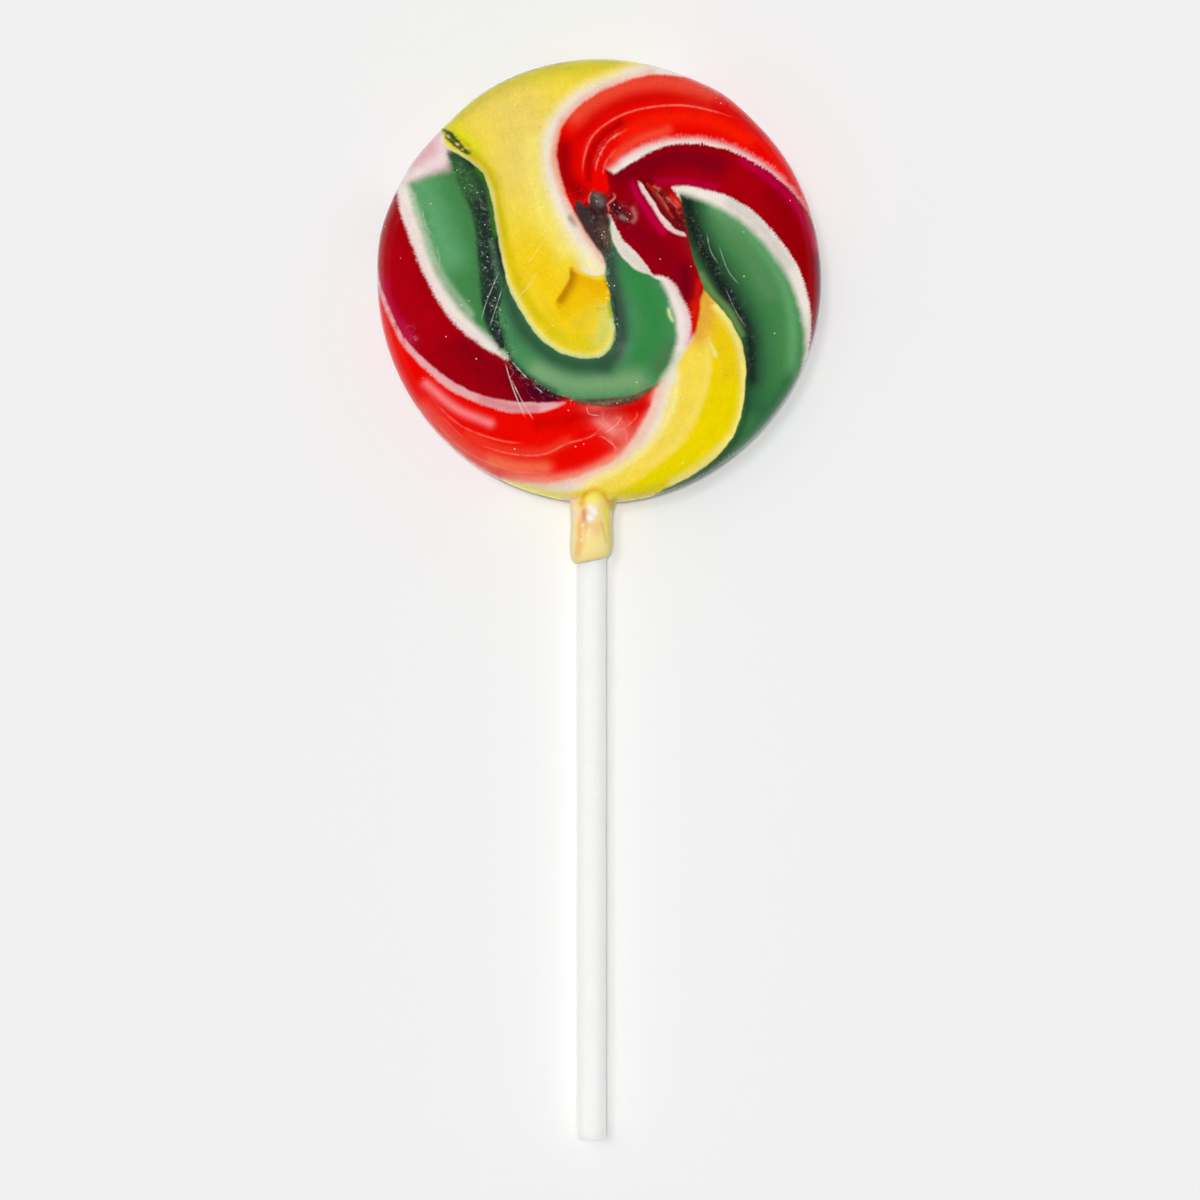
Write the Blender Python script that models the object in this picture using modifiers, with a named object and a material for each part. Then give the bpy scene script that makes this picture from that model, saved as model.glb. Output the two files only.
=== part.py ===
"""Swirl lollipop lying face up: a pressed disc of twisted boiled sugar on a rolled paper stick.

Metres, +Z up. The origin is the centre of the disc's resting face and the stick runs along -Y.
Lines drawn on the face are in millimetres from the disc's centre, +X right and +Y away from the stick.
"""
import math

import bmesh
import bpy
import numpy as np
from mathutils import Matrix, Vector

MM = 0.001

# Disc, in millimetres
HEAD_RADIUS = 32.5
HEAD_THICKNESS = 9.0
DOME_RISE = 0.25
EDGE_REACH = 3.0
EDGE_POWER = 2.3
FACE_RINGS = 30
UNDERSIDE_RINGS = 16
EDGE_STEPS = 5
TURN_STEPS = 96

# Swirl: degrees that the bands turn on their way in from the rim
TURN_START = 60.0
TURN_GAIN = 200.0
TURN_LIMIT = 0.45
BAND_PILLOW = 0.16
UNDERSIDE_GROOVE = 0.25
UNDERSIDE_FLAT_RADIUS = 18.5

# Colour bands counterclockwise round the rim: name and the angle where each starts
BANDS = [
    ("yellow", 82.0), ("green", 134.0), ("white", 152.5), ("crimson", 156.0),
    ("white", 181.0), ("red", 186.0), ("white", 246.0), ("yellow", 252.0),
    ("green", 297.0), ("white", 344.0), ("crimson", 350.0), ("white", 379.0),
    ("red", 384.0), ("white", 432.5),
]
COLOURS = {
    "yellow": (0.93, 0.66, 0.02),
    "green": (0.06, 0.27, 0.08),
    "white": (0.83, 0.72, 0.66),
    "crimson": (0.34, 0.003, 0.012),
    "red": (0.74, 0.008, 0.002),
}
SUGAR_ROUGHNESS = 0.25

# Unevenness of the rim: angle, spread in degrees, and how far it stands out in millimetres
RIM_SWELLS = [
    (135.0, 10.0, -0.45), (168.0, 9.0, 0.3), (56.0, 7.0, 0.3), (315.0, 22.0, -0.25), (35.0, 14.0, 0.12),
]

# Stick and the run of sugar round its top, in millimetres
STICK_RADIUS = 2.175
STICK_LENGTH = 114.0
STICK_DEPTH = 20.7
STICK_X = -1.2
STICK_SIDES = 40
STICK_END_ROUND = 0.35
STICK_FIT = 0.3
AXIS_HEIGHT = HEAD_THICKNESS / 2
COLLAR_START = 27.5
COLLAR_END = 41.0
COLLAR_RADIUS = 3.1
COLLAR_SLANT = 0.2
COLLAR_SIDES = 40
# Angle from straight up, spread, height, and where each strand starts and ends down the stick
COLLAR_STRANDS = [
    (8.0, 26.0, 0.75, 29.0, 36.0), (-48.0, 18.0, 0.22, 34.0, 43.0), (46.0, 13.0, 0.15, 34.0, 40.0),
    (-20.0, 9.0, -0.45, 33.5, 37.0), (100.0, 22.0, 0.9, 28.0, 32.4), (180.0, 40.0, 0.3, 29.0, 36.0),
]
PAPER_COLOUR = (0.9, 0.88, 0.8)

# Main relief of the face, as a few points along each form
TONGUE_EDGE = [(-21.0, 21.0), (-16.9, 16.3), (-15.4, 8.6), (-13.0, -0.5), (-8.2, -7.8), (-2.5, -11.1),
               (1.6, -9.9), (2.0, -4.0), (0.9, 0.8)]
HOOK_UNDERSIDE = [(-14.8, -4.4), (-13.0, -10.8), (-7.8, -15.5), (-0.1, -17.0), (7.4, -15.6), (12.2, -11.0)]
HOOK_RIDGE = [(2.8, 4.6), (5.4, 0.0), (8.0, -5.5), (5.6, -11.8), (-1.2, -14.1), (-8.0, -11.9), (-12.4, -6.3)]
LEFT_VALLEY = [(-21.6, 19.6), (-18.0, 13.6), (-16.6, 7.0), (-15.9, 0.5), (-15.3, -5.0), (-13.6, -10.0)]
RIGHT_VALLEY = [(12.9, 11.6), (14.2, 6.0), (17.2, 0.4), (20.6, -5.4), (22.3, -12.0), (21.4, -18.5), (17.0, -25.4)]
FLAP_EDGE = [(-7.2, -3.4), (-5.6, -0.4), (-4.0, 1.7), (-1.6, 1.0), (0.8, 0.6)]
RIM_CHIP = [(-23.4, 23.0), (-20.8, 20.6), (-18.6, 18.6)]
INNER_POCKET = [(8.6, 13.4), (10.8, 10.6), (12.3, 7.6)]
WEDGE_PIT = [(-0.4, 10.4), (-0.2, 7.6), (0.4, 4.6)]
BUBBLES = [(-0.1, 11.6, 1.3, 0.7), (3.4, 10.3, 1.5, 0.8), (-3.3, 8.8, 0.9, 0.4)]
LINE_SAMPLES = 8

# Where the bands end inside the swirl, for their colours only
TONGUE_RIGHT = [(-0.9, 1.7), (-5.7, 7.3), (-9.1, 17.0), (-6.1, 25.8), (6.8, 31.8)]
PALE_BAND_RIGHT = [(0.8, 0.8), (-4.0, 10.3), (-6.1, 18.0), (-4.0, 24.0), (9.8, 30.5)]
RED_TAIL = [(-5.2, 13.3), (-2.6, 10.5), (-0.5, 12.2), (1.4, 16.7), (4.0, 20.0), (-5.8, 20.5)]
TONGUE_CAP = [(-8.0, 34.0), (-24.0, 24.0)]
HOOK_CAP = [(12.6, -6.0), (10.0, 0.3), (7.2, 1.2), (1.6, 8.0)]
BANDS_INNER_RADIUS = 14.0


def clear_scene():
    """Remove every object that the new file starts with."""
    for thing in list(bpy.data.objects):
        bpy.data.objects.remove(thing)


def make_collection(name):
    """Add a collection to the scene."""
    collection = bpy.data.collections.new(name)
    bpy.context.scene.collection.children.link(collection)
    return collection


def make_material(name, colour, roughness):
    """A Principled material with its colour and roughness."""
    material = bpy.data.materials.new(name)
    material.use_nodes = True
    material.diffuse_color = (*colour, 1.0)
    shader = material.node_tree.nodes["Principled BSDF"]
    shader.inputs["Base Color"].default_value = (*colour, 1.0)
    shader.inputs["Roughness"].default_value = roughness
    shader.inputs["Metallic"].default_value = 0.0
    return material


def smooth_line(points):
    """A smooth curve through the points (Catmull-Rom), as an array of closely spaced places."""
    knots = np.array(points, float)
    ends = np.vstack([2 * knots[0] - knots[1], knots, 2 * knots[-1] - knots[-2]])
    steps = np.linspace(0.0, 1.0, LINE_SAMPLES, endpoint=False)[:, None]
    pieces = []
    for before, start, end, after in zip(ends, ends[1:], ends[2:], ends[3:]):
        cubic = 3 * start - before - 3 * end + after
        square = 2 * before - 5 * start + 4 * end - after
        pieces.append(start + 0.5 * steps * (end - before + steps * (square + steps * cubic)))
    return np.vstack(pieces + [knots[-1:]])


def nearest_on(line, places):
    """For each place: its distance to the line, +1 left or -1 right of it, and how far along (0 to 1)."""
    start, along = line[:-1], np.diff(line, axis=0)
    offset = places[:, None, :] - start[None]
    share = np.clip((offset * along).sum(2) / (along**2).sum(1), 0.0, 1.0)
    gap = offset - share[..., None] * along
    distance = np.linalg.norm(gap, axis=2)
    best = distance.argmin(1)
    row = np.arange(len(places))
    cross = along[best, 0] * offset[row, best, 1] - along[best, 1] * offset[row, best, 0]
    fraction = (best + share[row, best]) / len(along)
    return distance[row, best], np.where(cross >= 0, 1.0, -1.0), fraction


def smooth_step(low, high, value):
    """0 below low, 1 above high and a smooth rise between."""
    share = np.clip((value - low) / (high - low), 0.0, 1.0)
    return share * share * (3 - 2 * share)


def faded_ends(fraction, start_fade, end_fade):
    """1 along the middle of a line, fading to 0 at its ends."""
    return smooth_step(0.0, start_fade, fraction) * smooth_step(0.0, end_fade, 1 - fraction)


def ridge(places, points, height, half_width, start_fade=0.2, end_fade=0.2):
    """A rounded ridge (or a groove, if the height is negative) along a line."""
    distance, _, fraction = nearest_on(smooth_line(points), places)
    return height * faded_ends(fraction, start_fade, end_fade) * np.exp(-((distance / half_width) ** 2))


def lip(places, points, rise, drop, shoulder, reach, start_fade=0.12, end_fade=0.12):
    """A step along a line: a rounded lip on its left, and a drop on its right that comes back up."""
    distance, side, fraction = nearest_on(smooth_line(points), places)
    raised = rise * np.exp(-((distance / reach) ** 2))
    lowered = -drop * np.exp(-((distance / (reach * 0.5)) ** 2))
    left_share = smooth_step(-shoulder, shoulder, side * distance)
    return faded_ends(fraction, start_fade, end_fade) * (lowered + (raised - lowered) * left_share)


def bowl(places, x, y, radius, depth):
    """A round pit left by a bubble."""
    reach = np.hypot(places[:, 0] - x, places[:, 1] - y) / radius
    return -depth * np.exp(-(reach**2) * 1.6)


def swirl_turn(radius):
    """Degrees that a band has turned at this radius since it left the rim."""
    inward = np.clip(1 - radius / HEAD_RADIUS, 0.0, TURN_LIMIT)
    return TURN_START * inward + TURN_GAIN * inward**2


def rim_angle(places):
    """The angle (degrees) at the rim of the band strand that passes through each place."""
    radius = np.hypot(places[:, 0], places[:, 1])
    first = BANDS[0][1]
    angle = np.degrees(np.arctan2(places[:, 1], places[:, 0])) - swirl_turn(radius)
    return (angle - first) % 360.0 + first


def band_pillow(places):
    """A slight crown along the middle of each colour band."""
    angle = rim_angle(places)
    radius = np.hypot(places[:, 0], places[:, 1])
    height = np.zeros(len(places))
    edges = [start for _, start in BANDS] + [BANDS[0][1] + 360.0]
    for start, end in zip(edges, edges[1:]):
        share = np.clip((angle - start) / (end - start), 0.0, 1.0)
        crown = np.sin(np.pi * share) * min(1.0, (end - start) / 24.0)
        height += np.where((angle >= start) & (angle < end), BAND_PILLOW * crown, 0.0)
    return height * smooth_step(14.0, 20.0, radius)


def face_relief(places):
    """Height (mm) of the pressed swirl's forms above the plain domed face."""
    height = band_pillow(places)
    height += ridge(places, HOOK_RIDGE, 0.5, 2.6)
    height += ridge(places, LEFT_VALLEY, -1.3, 1.7, 0.15, 0.25)
    height += ridge(places, RIGHT_VALLEY, -1.0, 1.9, 0.15, 0.45)
    height += lip(places, TONGUE_EDGE, 0.4, 0.5, 0.9, 3.4)
    height += lip(places, HOOK_UNDERSIDE, 0.15, 0.6, 0.9, 3.0)
    height += lip(places, FLAP_EDGE, 0.1, 0.6, 0.7, 5.0, 0.3, 0.2)
    height += ridge(places, RIM_CHIP, -0.9, 0.8, 0.05, 0.3)
    height += ridge(places, INNER_POCKET, -0.7, 1.2)
    height += ridge(places, WEDGE_PIT, -0.7, 1.5, 0.1, 0.3)
    for x, y, radius, depth in BUBBLES:
        height += bowl(places, x, y, radius, depth)
    return height


def underside_relief(angle, radius):
    """Height (mm) of the seam grooves that run up into the resting face, each along one strand."""
    strand = 360.0 / TURN_STEPS
    height = np.zeros(len(angle))
    for _, start in BANDS:
        nearest_strand = round(start / strand) * strand
        apart = np.abs((angle - nearest_strand + 180.0) % 360.0 - 180.0)
        height = np.maximum(height, UNDERSIDE_GROOVE * (apart < strand / 4))
    inner = smooth_step(UNDERSIDE_FLAT_RADIUS, UNDERSIDE_FLAT_RADIUS + 4.0, radius)
    return height * inner * (radius < HEAD_RADIUS - EDGE_REACH - 0.1)


def rim_swell(angle):
    """How far (mm) the rim stands out from a true circle at an angle in degrees."""
    swell = np.zeros(len(angle))
    for centre, spread, amount in RIM_SWELLS:
        apart = (angle - centre + 180.0) % 360.0 - 180.0
        swell += amount * np.exp(-((apart / spread) ** 2))
    return swell


def disc_profile():
    """Radius and height (mm) from the top's centre over the rounded edge to the underside's centre."""
    half = HEAD_THICKNESS / 2
    flat = HEAD_RADIUS - EDGE_REACH
    profile = [(flat * ring / FACE_RINGS, HEAD_THICKNESS) for ring in range(FACE_RINGS)]
    for step in range(2 * EDGE_STEPS + 1):
        turn = math.pi / 2 - math.pi * step / (2 * EDGE_STEPS)
        out = abs(math.cos(turn)) ** (2 / EDGE_POWER)
        up = math.copysign(abs(math.sin(turn)) ** (2 / EDGE_POWER), turn)
        profile.append((flat + EDGE_REACH * out, half + half * up))
    profile += [(flat * ring / UNDERSIDE_RINGS, 0.0) for ring in range(UNDERSIDE_RINGS - 1, -1, -1)]
    return profile


def turned(name, profile, steps, collection):
    """A solid of revolution about Z, from a profile in millimetres that runs top to bottom at +X."""
    mesh = bpy.data.meshes.new(name)
    points = [(radius * MM, 0.0, height * MM) for radius, height in profile]
    mesh.from_pydata(points, [(i, i + 1) for i in range(len(points) - 1)], [])
    thing = bpy.data.objects.new(name, mesh)
    collection.objects.link(thing)
    screw = thing.modifiers.new("turn", "SCREW")
    screw.axis = "Z"
    screw.steps = steps
    screw.render_steps = steps
    screw.use_merge_vertices = True
    screw.merge_threshold = 0.00001
    apply_modifiers(thing)
    return thing


def apply_modifiers(thing):
    """Replace an object's mesh with the one that its modifiers give."""
    bpy.context.view_layer.update()
    evaluated = thing.evaluated_get(bpy.context.evaluated_depsgraph_get())
    mesh = bpy.data.meshes.new_from_object(evaluated)
    thing.modifiers.clear()
    thing.data = mesh
    mesh.name = thing.name


def vertex_places(mesh):
    """The mesh's vertices as an array, in millimetres."""
    flat = np.empty(3 * len(mesh.vertices))
    mesh.vertices.foreach_get("co", flat)
    return flat.reshape(-1, 3) / MM


def set_vertex_places(mesh, places):
    """Move the mesh's vertices to the given places, in millimetres."""
    mesh.vertices.foreach_set("co", (places * MM).ravel())
    mesh.update()


def shape_disc(disc):
    """Twist the turned disc's rings along the swirl, then press the bands, valleys and folds into it."""
    places = vertex_places(disc.data)
    height = places[:, 2]
    radius = np.hypot(places[:, 0], places[:, 1])
    strand_angle = np.degrees(np.arctan2(places[:, 1], places[:, 0]))
    grooves = np.where(height < 0.01, underside_relief(strand_angle, radius), 0.0)
    angle = strand_angle + swirl_turn(radius)
    radius = radius * (1 + rim_swell(angle) / HEAD_RADIUS * smooth_step(18.0, HEAD_RADIUS, radius))
    turn = np.radians(angle)
    flat = np.column_stack([radius * np.cos(turn), radius * np.sin(turn)])
    half = HEAD_THICKNESS / 2
    top_share = smooth_step(0.15, 1.0, (height - half) / half)
    dome = DOME_RISE * (1 - (radius / HEAD_RADIUS) ** 2)
    height = height + top_share * (face_relief(flat) + dome) + grooves
    set_vertex_places(disc.data, np.column_stack([flat, height]))


def inside(outline, places):
    """Whether each place is inside a closed outline."""
    x, y = places[:, 0], places[:, 1]
    hits = np.zeros(len(places), int)
    for (ax, ay), (bx, by) in zip(outline, np.roll(outline, -1, axis=0)):
        spans = (ay > y) != (by > y)
        rise = by - ay if by != ay else 1.0
        hits += spans & (x < ax + (bx - ax) * (y - ay) / rise)
    return hits % 2 == 1


def colour_bands(disc, materials):
    """Give each face the sugar of the band that it lies in."""
    mesh = disc.data
    names = list(COLOURS)
    for name in names:
        mesh.materials.append(materials[name])
    centres = np.array([polygon.center[:2] for polygon in mesh.polygons]) / MM
    angle = rim_angle(centres)
    choice = np.full(len(centres), names.index("crimson"))
    outer = np.hypot(centres[:, 0], centres[:, 1]) > BANDS_INNER_RADIUS
    edges = [start for _, start in BANDS] + [BANDS[0][1] + 360.0]
    for (name, start), end in zip(BANDS, edges[1:]):
        choice[outer & (angle >= start) & (angle < end)] = names.index(name)
    beside_tongue = (choice == names.index("yellow")) & (centres[:, 0] < 0.0) & (centres[:, 1] > -14.0)
    choice[beside_tongue] = names.index("green")
    tongue_edge = smooth_line(TONGUE_EDGE)
    areas = [
        ("red", RED_TAIL),
        ("green", np.vstack([smooth_line(HOOK_UNDERSIDE), HOOK_CAP])),
        ("white", np.vstack([tongue_edge, smooth_line(PALE_BAND_RIGHT), TONGUE_CAP])),
        ("yellow", np.vstack([tongue_edge, smooth_line(TONGUE_RIGHT), TONGUE_CAP])),
    ]
    for name, outline in areas:
        choice[inside(outline, centres)] = names.index(name)
    for polygon, index in zip(mesh.polygons, choice):
        polygon.material_index = int(index)


def collar_profile():
    """Radius and height (mm) of the run of sugar when its lip points down, from inside the disc to the lip."""
    widths = [
        (0.0, 0.0), (0.75, 0.0), (1.0, 1.5), (1.03, 3.0), (1.04, 4.2), (1.03, 5.2), (1.0, 6.2), (0.99, 7.2),
        (0.98, 8.4), (1.0, 9.6), (1.01, 10.6), (1.0, 11.6), (0.95, 12.5), (0.84, 13.2),
        (0.0, COLLAR_END - COLLAR_START),
    ]
    return [(COLLAR_RADIUS * width, COLLAR_END - COLLAR_START - down) for width, down in widths]


def collar_strand(angle, down, strand):
    """How far (mm) one strand of the run stands out: angle from straight up, place down the stick."""
    centre, spread, height, start, end = strand
    across = np.exp(-(((angle - centre) / spread) ** 2))
    length = smooth_step(start - 1.2, start + 0.6, down) * smooth_step(end + 2.5, end - 2.5, down)
    return height * across * length


def build_collar(cutters):
    """The sugar that ran down the stick: three merged strands with a slanting lower lip."""
    collar = turned("collar_run", collar_profile(), COLLAR_SIDES, cutters)
    places = vertex_places(collar.data)
    across, up, along = places[:, 0], places[:, 1], places[:, 2]
    down = COLLAR_END - along
    angle = np.degrees(np.arctan2(across, up))
    reach = np.hypot(across, up)
    swell = sum(collar_strand(angle, down, strand) for strand in COLLAR_STRANDS)
    scale = 1 + swell / COLLAR_RADIUS * smooth_step(0.0, 2.0, reach)
    across, up = across * scale, up * scale
    lip_share = smooth_step(COLLAR_END - 6.0, COLLAR_END - 1.0, down)
    along = along + COLLAR_SLANT * across * lip_share
    set_vertex_places(collar.data, np.column_stack([STICK_X + across, along - COLLAR_END, AXIS_HEIGHT + up]))
    flip_faces(collar.data)
    return collar


def flip_faces(mesh):
    """Turn the faces outward again after a mirroring move."""
    form = bmesh.new()
    form.from_mesh(mesh)
    bmesh.ops.recalc_face_normals(form, faces=form.faces)
    form.to_mesh(mesh)
    form.free()


def build_bar(name, radius, back, front, sides, collection):
    """A round bar along Y on the stick's axis, from y = back to y = front (mm)."""
    mesh = bpy.data.meshes.new(name)
    form = bmesh.new()
    bmesh.ops.create_cone(
        form, cap_ends=True, segments=sides, radius1=radius * MM, radius2=radius * MM,
        depth=(front - back) * MM,
    )
    form.to_mesh(mesh)
    form.free()
    mesh.transform(Matrix.Rotation(math.radians(90.0), 4, "X"))
    thing = bpy.data.objects.new(name, mesh)
    thing.location = Vector((STICK_X, (front + back) / 2, AXIS_HEIGHT)) * MM
    collection.objects.link(thing)
    return thing


def hide_as_cutter(thing):
    """Show a cutter only as a wire outline."""
    thing.hide_render = True
    thing.display_type = "WIRE"


def add_boolean(thing, other, operation):
    """Join another object to this one, or cut it out, exactly."""
    modifier = thing.modifiers.new(operation.lower(), "BOOLEAN")
    modifier.solver = "EXACT"
    modifier.operation = operation
    modifier.object = other


def build_candy(collection, cutters, materials):
    """The whole piece of sugar: disc and collar in one, with the socket that the stick sits in."""
    candy = turned("candy", disc_profile(), TURN_STEPS, collection)
    shape_disc(candy)
    colour_bands(candy, materials)
    collar = build_collar(cutters)
    for name in COLOURS:
        collar.data.materials.append(materials[name])
    socket_top = -HEAD_RADIUS + STICK_DEPTH + STICK_FIT
    socket = build_bar(
        "socket_cut", STICK_RADIUS + STICK_FIT, -COLLAR_END - 5.0, socket_top, STICK_SIDES, cutters
    )
    add_boolean(candy, collar, "UNION")
    add_boolean(candy, socket, "DIFFERENCE")
    hide_as_cutter(collar)
    hide_as_cutter(socket)
    bpy.context.view_layer.update()
    apply_modifiers(candy)
    candy.data.shade_smooth()
    candy.data.set_sharp_from_angle(angle=math.radians(50.0))
    return candy


def build_stick(collection):
    """The rolled paper stick, with its ends slightly rounded."""
    front = -HEAD_RADIUS + STICK_DEPTH
    stick = build_bar("stick", STICK_RADIUS, front - STICK_LENGTH, front, STICK_SIDES, collection)
    stick.data.materials.append(make_material("paper", PAPER_COLOUR, 0.8))
    bevel = stick.modifiers.new("rounded_ends", "BEVEL")
    bevel.width = STICK_END_ROUND * MM
    bevel.segments = 2
    bevel.limit_method = "ANGLE"
    bevel.angle_limit = math.radians(60.0)
    apply_modifiers(stick)
    stick.data.shade_smooth()
    stick.data.set_sharp_from_angle(angle=math.radians(50.0))
    return stick


def main():
    """Build the lollipop's two solids."""
    clear_scene()
    lollipop = make_collection("swirl_lollipop")
    cutters = make_collection("cutters")
    materials = {
        name: make_material(f"{name}_sugar", colour, SUGAR_ROUGHNESS) for name, colour in COLOURS.items()
    }
    build_candy(lollipop, cutters, materials)
    build_stick(lollipop)


main()
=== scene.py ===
"""The looks of the swirl lollipop: twisted glossy sugar on a rolled paper stick, seen from straight above.

Lengths in this script are millimetres until a mesh is made. Lines on the face are given as they show from
the camera at the disc's half height, from the disc's centre, +X right and +Y away from the stick.
"""

import math

import bmesh
import bpy
import numpy as np
from mathutils import Matrix, Vector, noise


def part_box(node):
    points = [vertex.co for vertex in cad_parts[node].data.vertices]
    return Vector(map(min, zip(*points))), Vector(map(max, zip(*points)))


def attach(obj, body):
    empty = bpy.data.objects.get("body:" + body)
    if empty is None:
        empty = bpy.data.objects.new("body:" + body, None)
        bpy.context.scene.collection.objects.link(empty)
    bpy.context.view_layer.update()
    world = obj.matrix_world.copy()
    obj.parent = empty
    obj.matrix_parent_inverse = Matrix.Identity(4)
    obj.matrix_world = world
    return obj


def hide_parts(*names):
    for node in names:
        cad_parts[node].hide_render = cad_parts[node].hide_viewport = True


MM = 0.001

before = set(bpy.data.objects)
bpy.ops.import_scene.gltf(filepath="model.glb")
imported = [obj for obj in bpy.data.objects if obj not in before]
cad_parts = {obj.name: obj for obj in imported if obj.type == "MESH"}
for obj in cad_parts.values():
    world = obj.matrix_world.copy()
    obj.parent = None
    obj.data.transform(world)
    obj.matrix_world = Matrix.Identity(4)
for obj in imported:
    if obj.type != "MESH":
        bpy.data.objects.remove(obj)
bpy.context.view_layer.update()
candy_high = [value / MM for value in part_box("candy")[1]]
stick_low, stick_high = [[value / MM for value in corner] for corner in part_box("stick")]

# Disc, as the frame has it
HEAD_RADIUS = candy_high[0]
HEAD_THICKNESS = 9.0
HALF_THICKNESS = HEAD_THICKNESS / 2
DOME_RISE = 0.25
EDGE_REACH = 3.0
EDGE_POWER = 2.3

# Shares of the way from half height to the top over which the relief and the dome fade in
RELIEF_FADE = (0.15, 1.0)

# Unevenness of the rim, from a radius outwards: angle and spread (degrees), and how far it stands out
SWELL_START = 18.0
RIM_SWELLS = [(135, 10, -0.45), (168, 9, 0.3), (56, 7, 0.3), (315, 22, -0.25), (35, 14, 0.12)]

# Fineness of the meshes and of the lines on them
FACE_RINGS = 112
RING_STEP_COUNT = 8
EDGE_STEPS = 9
UNDERSIDE_RINGS = 46
COLLAR_SIDES = 112
COLLAR_SAMPLES = 5
SOCKET_SIDES = 96
STICK_SIDES = 72
STICK_RINGS = 190
STICK_END_STEPS = 4
LINE_SAMPLES = 8

# Places worked on at a time, a distance beyond any on the candy, and the least length of a step squared
CHUNK = 20000
FAR = 99.0
TINY = 1e-9

# Stick and collar, as the frame has them
STICK_X = (stick_low[0] + stick_high[0]) / 2
STICK_RADIUS = (stick_high[0] - stick_low[0]) / 2
STICK_BACK = stick_low[1]
STICK_FRONT = stick_high[1]
AXIS_HEIGHT = (stick_low[2] + stick_high[2]) / 2
COLLAR_START = 27.5
COLLAR_END = 41.0
COLLAR_RADIUS = 3.1
COLLAR_SLANT = 0.2
COLLAR_CAP_INSET = 0.6
SOCKET_BEYOND = 8.0

# How far before the collar's end its slant starts and is full, and how its strands fade in and out
COLLAR_SLANT_FADE = (6.0, 1.0)
STRAND_START_FADE = (1.2, 0.6)
STRAND_END_FADE = 2.5

# The collar's outline: width as a share of its radius, and place down the stick from its start
COLLAR_OUTLINE = [
    (0.75, 0), (1, 1.5), (1.03, 3), (1.04, 4.2), (1.03, 5.2), (1, 6.2), (0.99, 7.2), (0.98, 8.4), (1, 9.6),
    (1.01, 10.6), (1, 11.6), (0.95, 12.5), (0.84, 13.2), (0.7, 13.5),
]

# Angle from straight up, spread, height, and where each strand starts and ends down the stick
COLLAR_STRANDS = [
    (8, 26, 0.75, 29, 36), (-48, 18, 0.22, 34, 43), (46, 13, 0.15, 34, 40), (-20, 9, -0.45, 33.5, 37),
    (100, 22, 0.9, 28, 32.4), (180, 40, 0.3, 29, 36),
]

# Camera: distance from the disc's half height, and the point that it looks down on
CAMERA_DISTANCE = 520.0
CAMERA_X = 0.09
CAMERA_Y = -46.7
CAMERA_SENSOR = 36.0
CAMERA_CLIP = 0.01
PHOTO_PIXELS = 1200
PHOTO_PIXELS_PER_MM = 6.82
VIEW_WIDTH = PHOTO_PIXELS / PHOTO_PIXELS_PER_MM
FACE_SCALE = (CAMERA_DISTANCE - HALF_THICKNESS) / CAMERA_DISTANCE

# Seams between the bands
TONGUE_EDGE = [
    (-23.6, 22.6), (-22.9, 21.4), (-22.7, 20.3), (-22.2, 19.5), (-20.9, 18.8), (-19.8, 18.15),
    (-18.8, 17.45), (-17.85, 16.7), (-17.05, 15.8), (-16.5, 14.6), (-15.95, 12.9), (-15.5, 10.2),
    (-14.9, 6.4), (-14.2, 2.8), (-13.2, -1.3), (-12, -3.5), (-10.7, -5.8), (-9.1, -7.95), (-7.2, -9.65),
    (-4.8, -10.85), (-2.2, -11.3), (-0.3, -11.2), (1.2, -10.35), (2.1, -8.9), (2.4, -7.25), (2.1, -5.55),
    (1.7, -3.65), (1.35, -1.3), (0.8, 0.9),
]
FLAP_TOP = [(0.8, 0.85), (-0.3, 0.7), (-1.5, 0.95), (-3.0, 1.7), (-4.3, 2.15)]
FLAP_SIDE = [(-4.3, 2.15), (-4.5, 0.4), (-5.3, -1.0), (-6.2, -2.6), (-6.6, -3.4)]
PALE_LEFT = [
    (-2.3, 1.3), (-3, 3.2), (-4.8, 6.1), (-6.8, 10.2), (-8.4, 16.3), (-8.1, 22.3), (-3.9, 27.7), (3.2, 31),
    (9, 32.7),
]
PALE_RIGHT = [
    (0.8, 0.9), (0.9, 2.4), (0.4, 3.8), (-0.5, 5), (-1.6, 6.6), (-3, 8.9), (-5, 12.9), (-6.2, 17),
    (-6.3, 19.3), (-5.1, 23.4), (-0.1, 27.8), (7.7, 30.3), (14, 30.2),
]
TOP_STRIPE_UPPER = [
    (32.2, 8.2), (29.3, 12.7), (24.7, 17.1), (18, 20.55), (11.5, 21.25), (6.6, 20.1), (3.5, 18.5),
    (1.8, 17.4), (0.6, 16.7),
]
TOP_STRIPE_LOWER = [
    (32.6, 6.8), (30.1, 11.1), (25.6, 15.6), (19.6, 19), (12.9, 20.25), (8.4, 19.4), (5.65, 17.85),
    (3.7, 16.75), (2.4, 15.8), (1.5, 16.2), (0.6, 16.7),
]
RIGHT_STRIPE_OUTER = [
    (30.6, -12.5), (31.1, -7.2), (30.9, -4.2), (30.3, -1), (28.2, 3.7), (24.1, 8.9), (19.6, 12.1),
    (14, 13.8), (10.6, 13.9),
]
RIGHT_STRIPE_INNER = [
    (30, -13.5), (30.2, -9.9), (30.1, -7.2), (29.5, -4.2), (28.5, -1.2), (26, 3.2), (21.8, 8),
    (17.4, 10.9), (14, 12.3), (11.7, 12.9),
]
STRAND_RIGHT = [(11.7, 12.9), (12.2, 10.8), (12.8, 8.0), (13.7, 3.8), (15.2, -0.6)]
LOW_YELLOW_RIGHT = [
    (15.3, -1), (17.3, -3.3), (19.4, -6), (20.8, -9), (21.4, -12), (21.4, -15), (21.1, -17.8),
    (20.4, -20.6), (19.5, -22.8), (18.2, -24.6), (16.6, -26.2), (14.4, -27.8), (11.6, -29.4), (6, -32),
    (1, -33.4),
]
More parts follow.
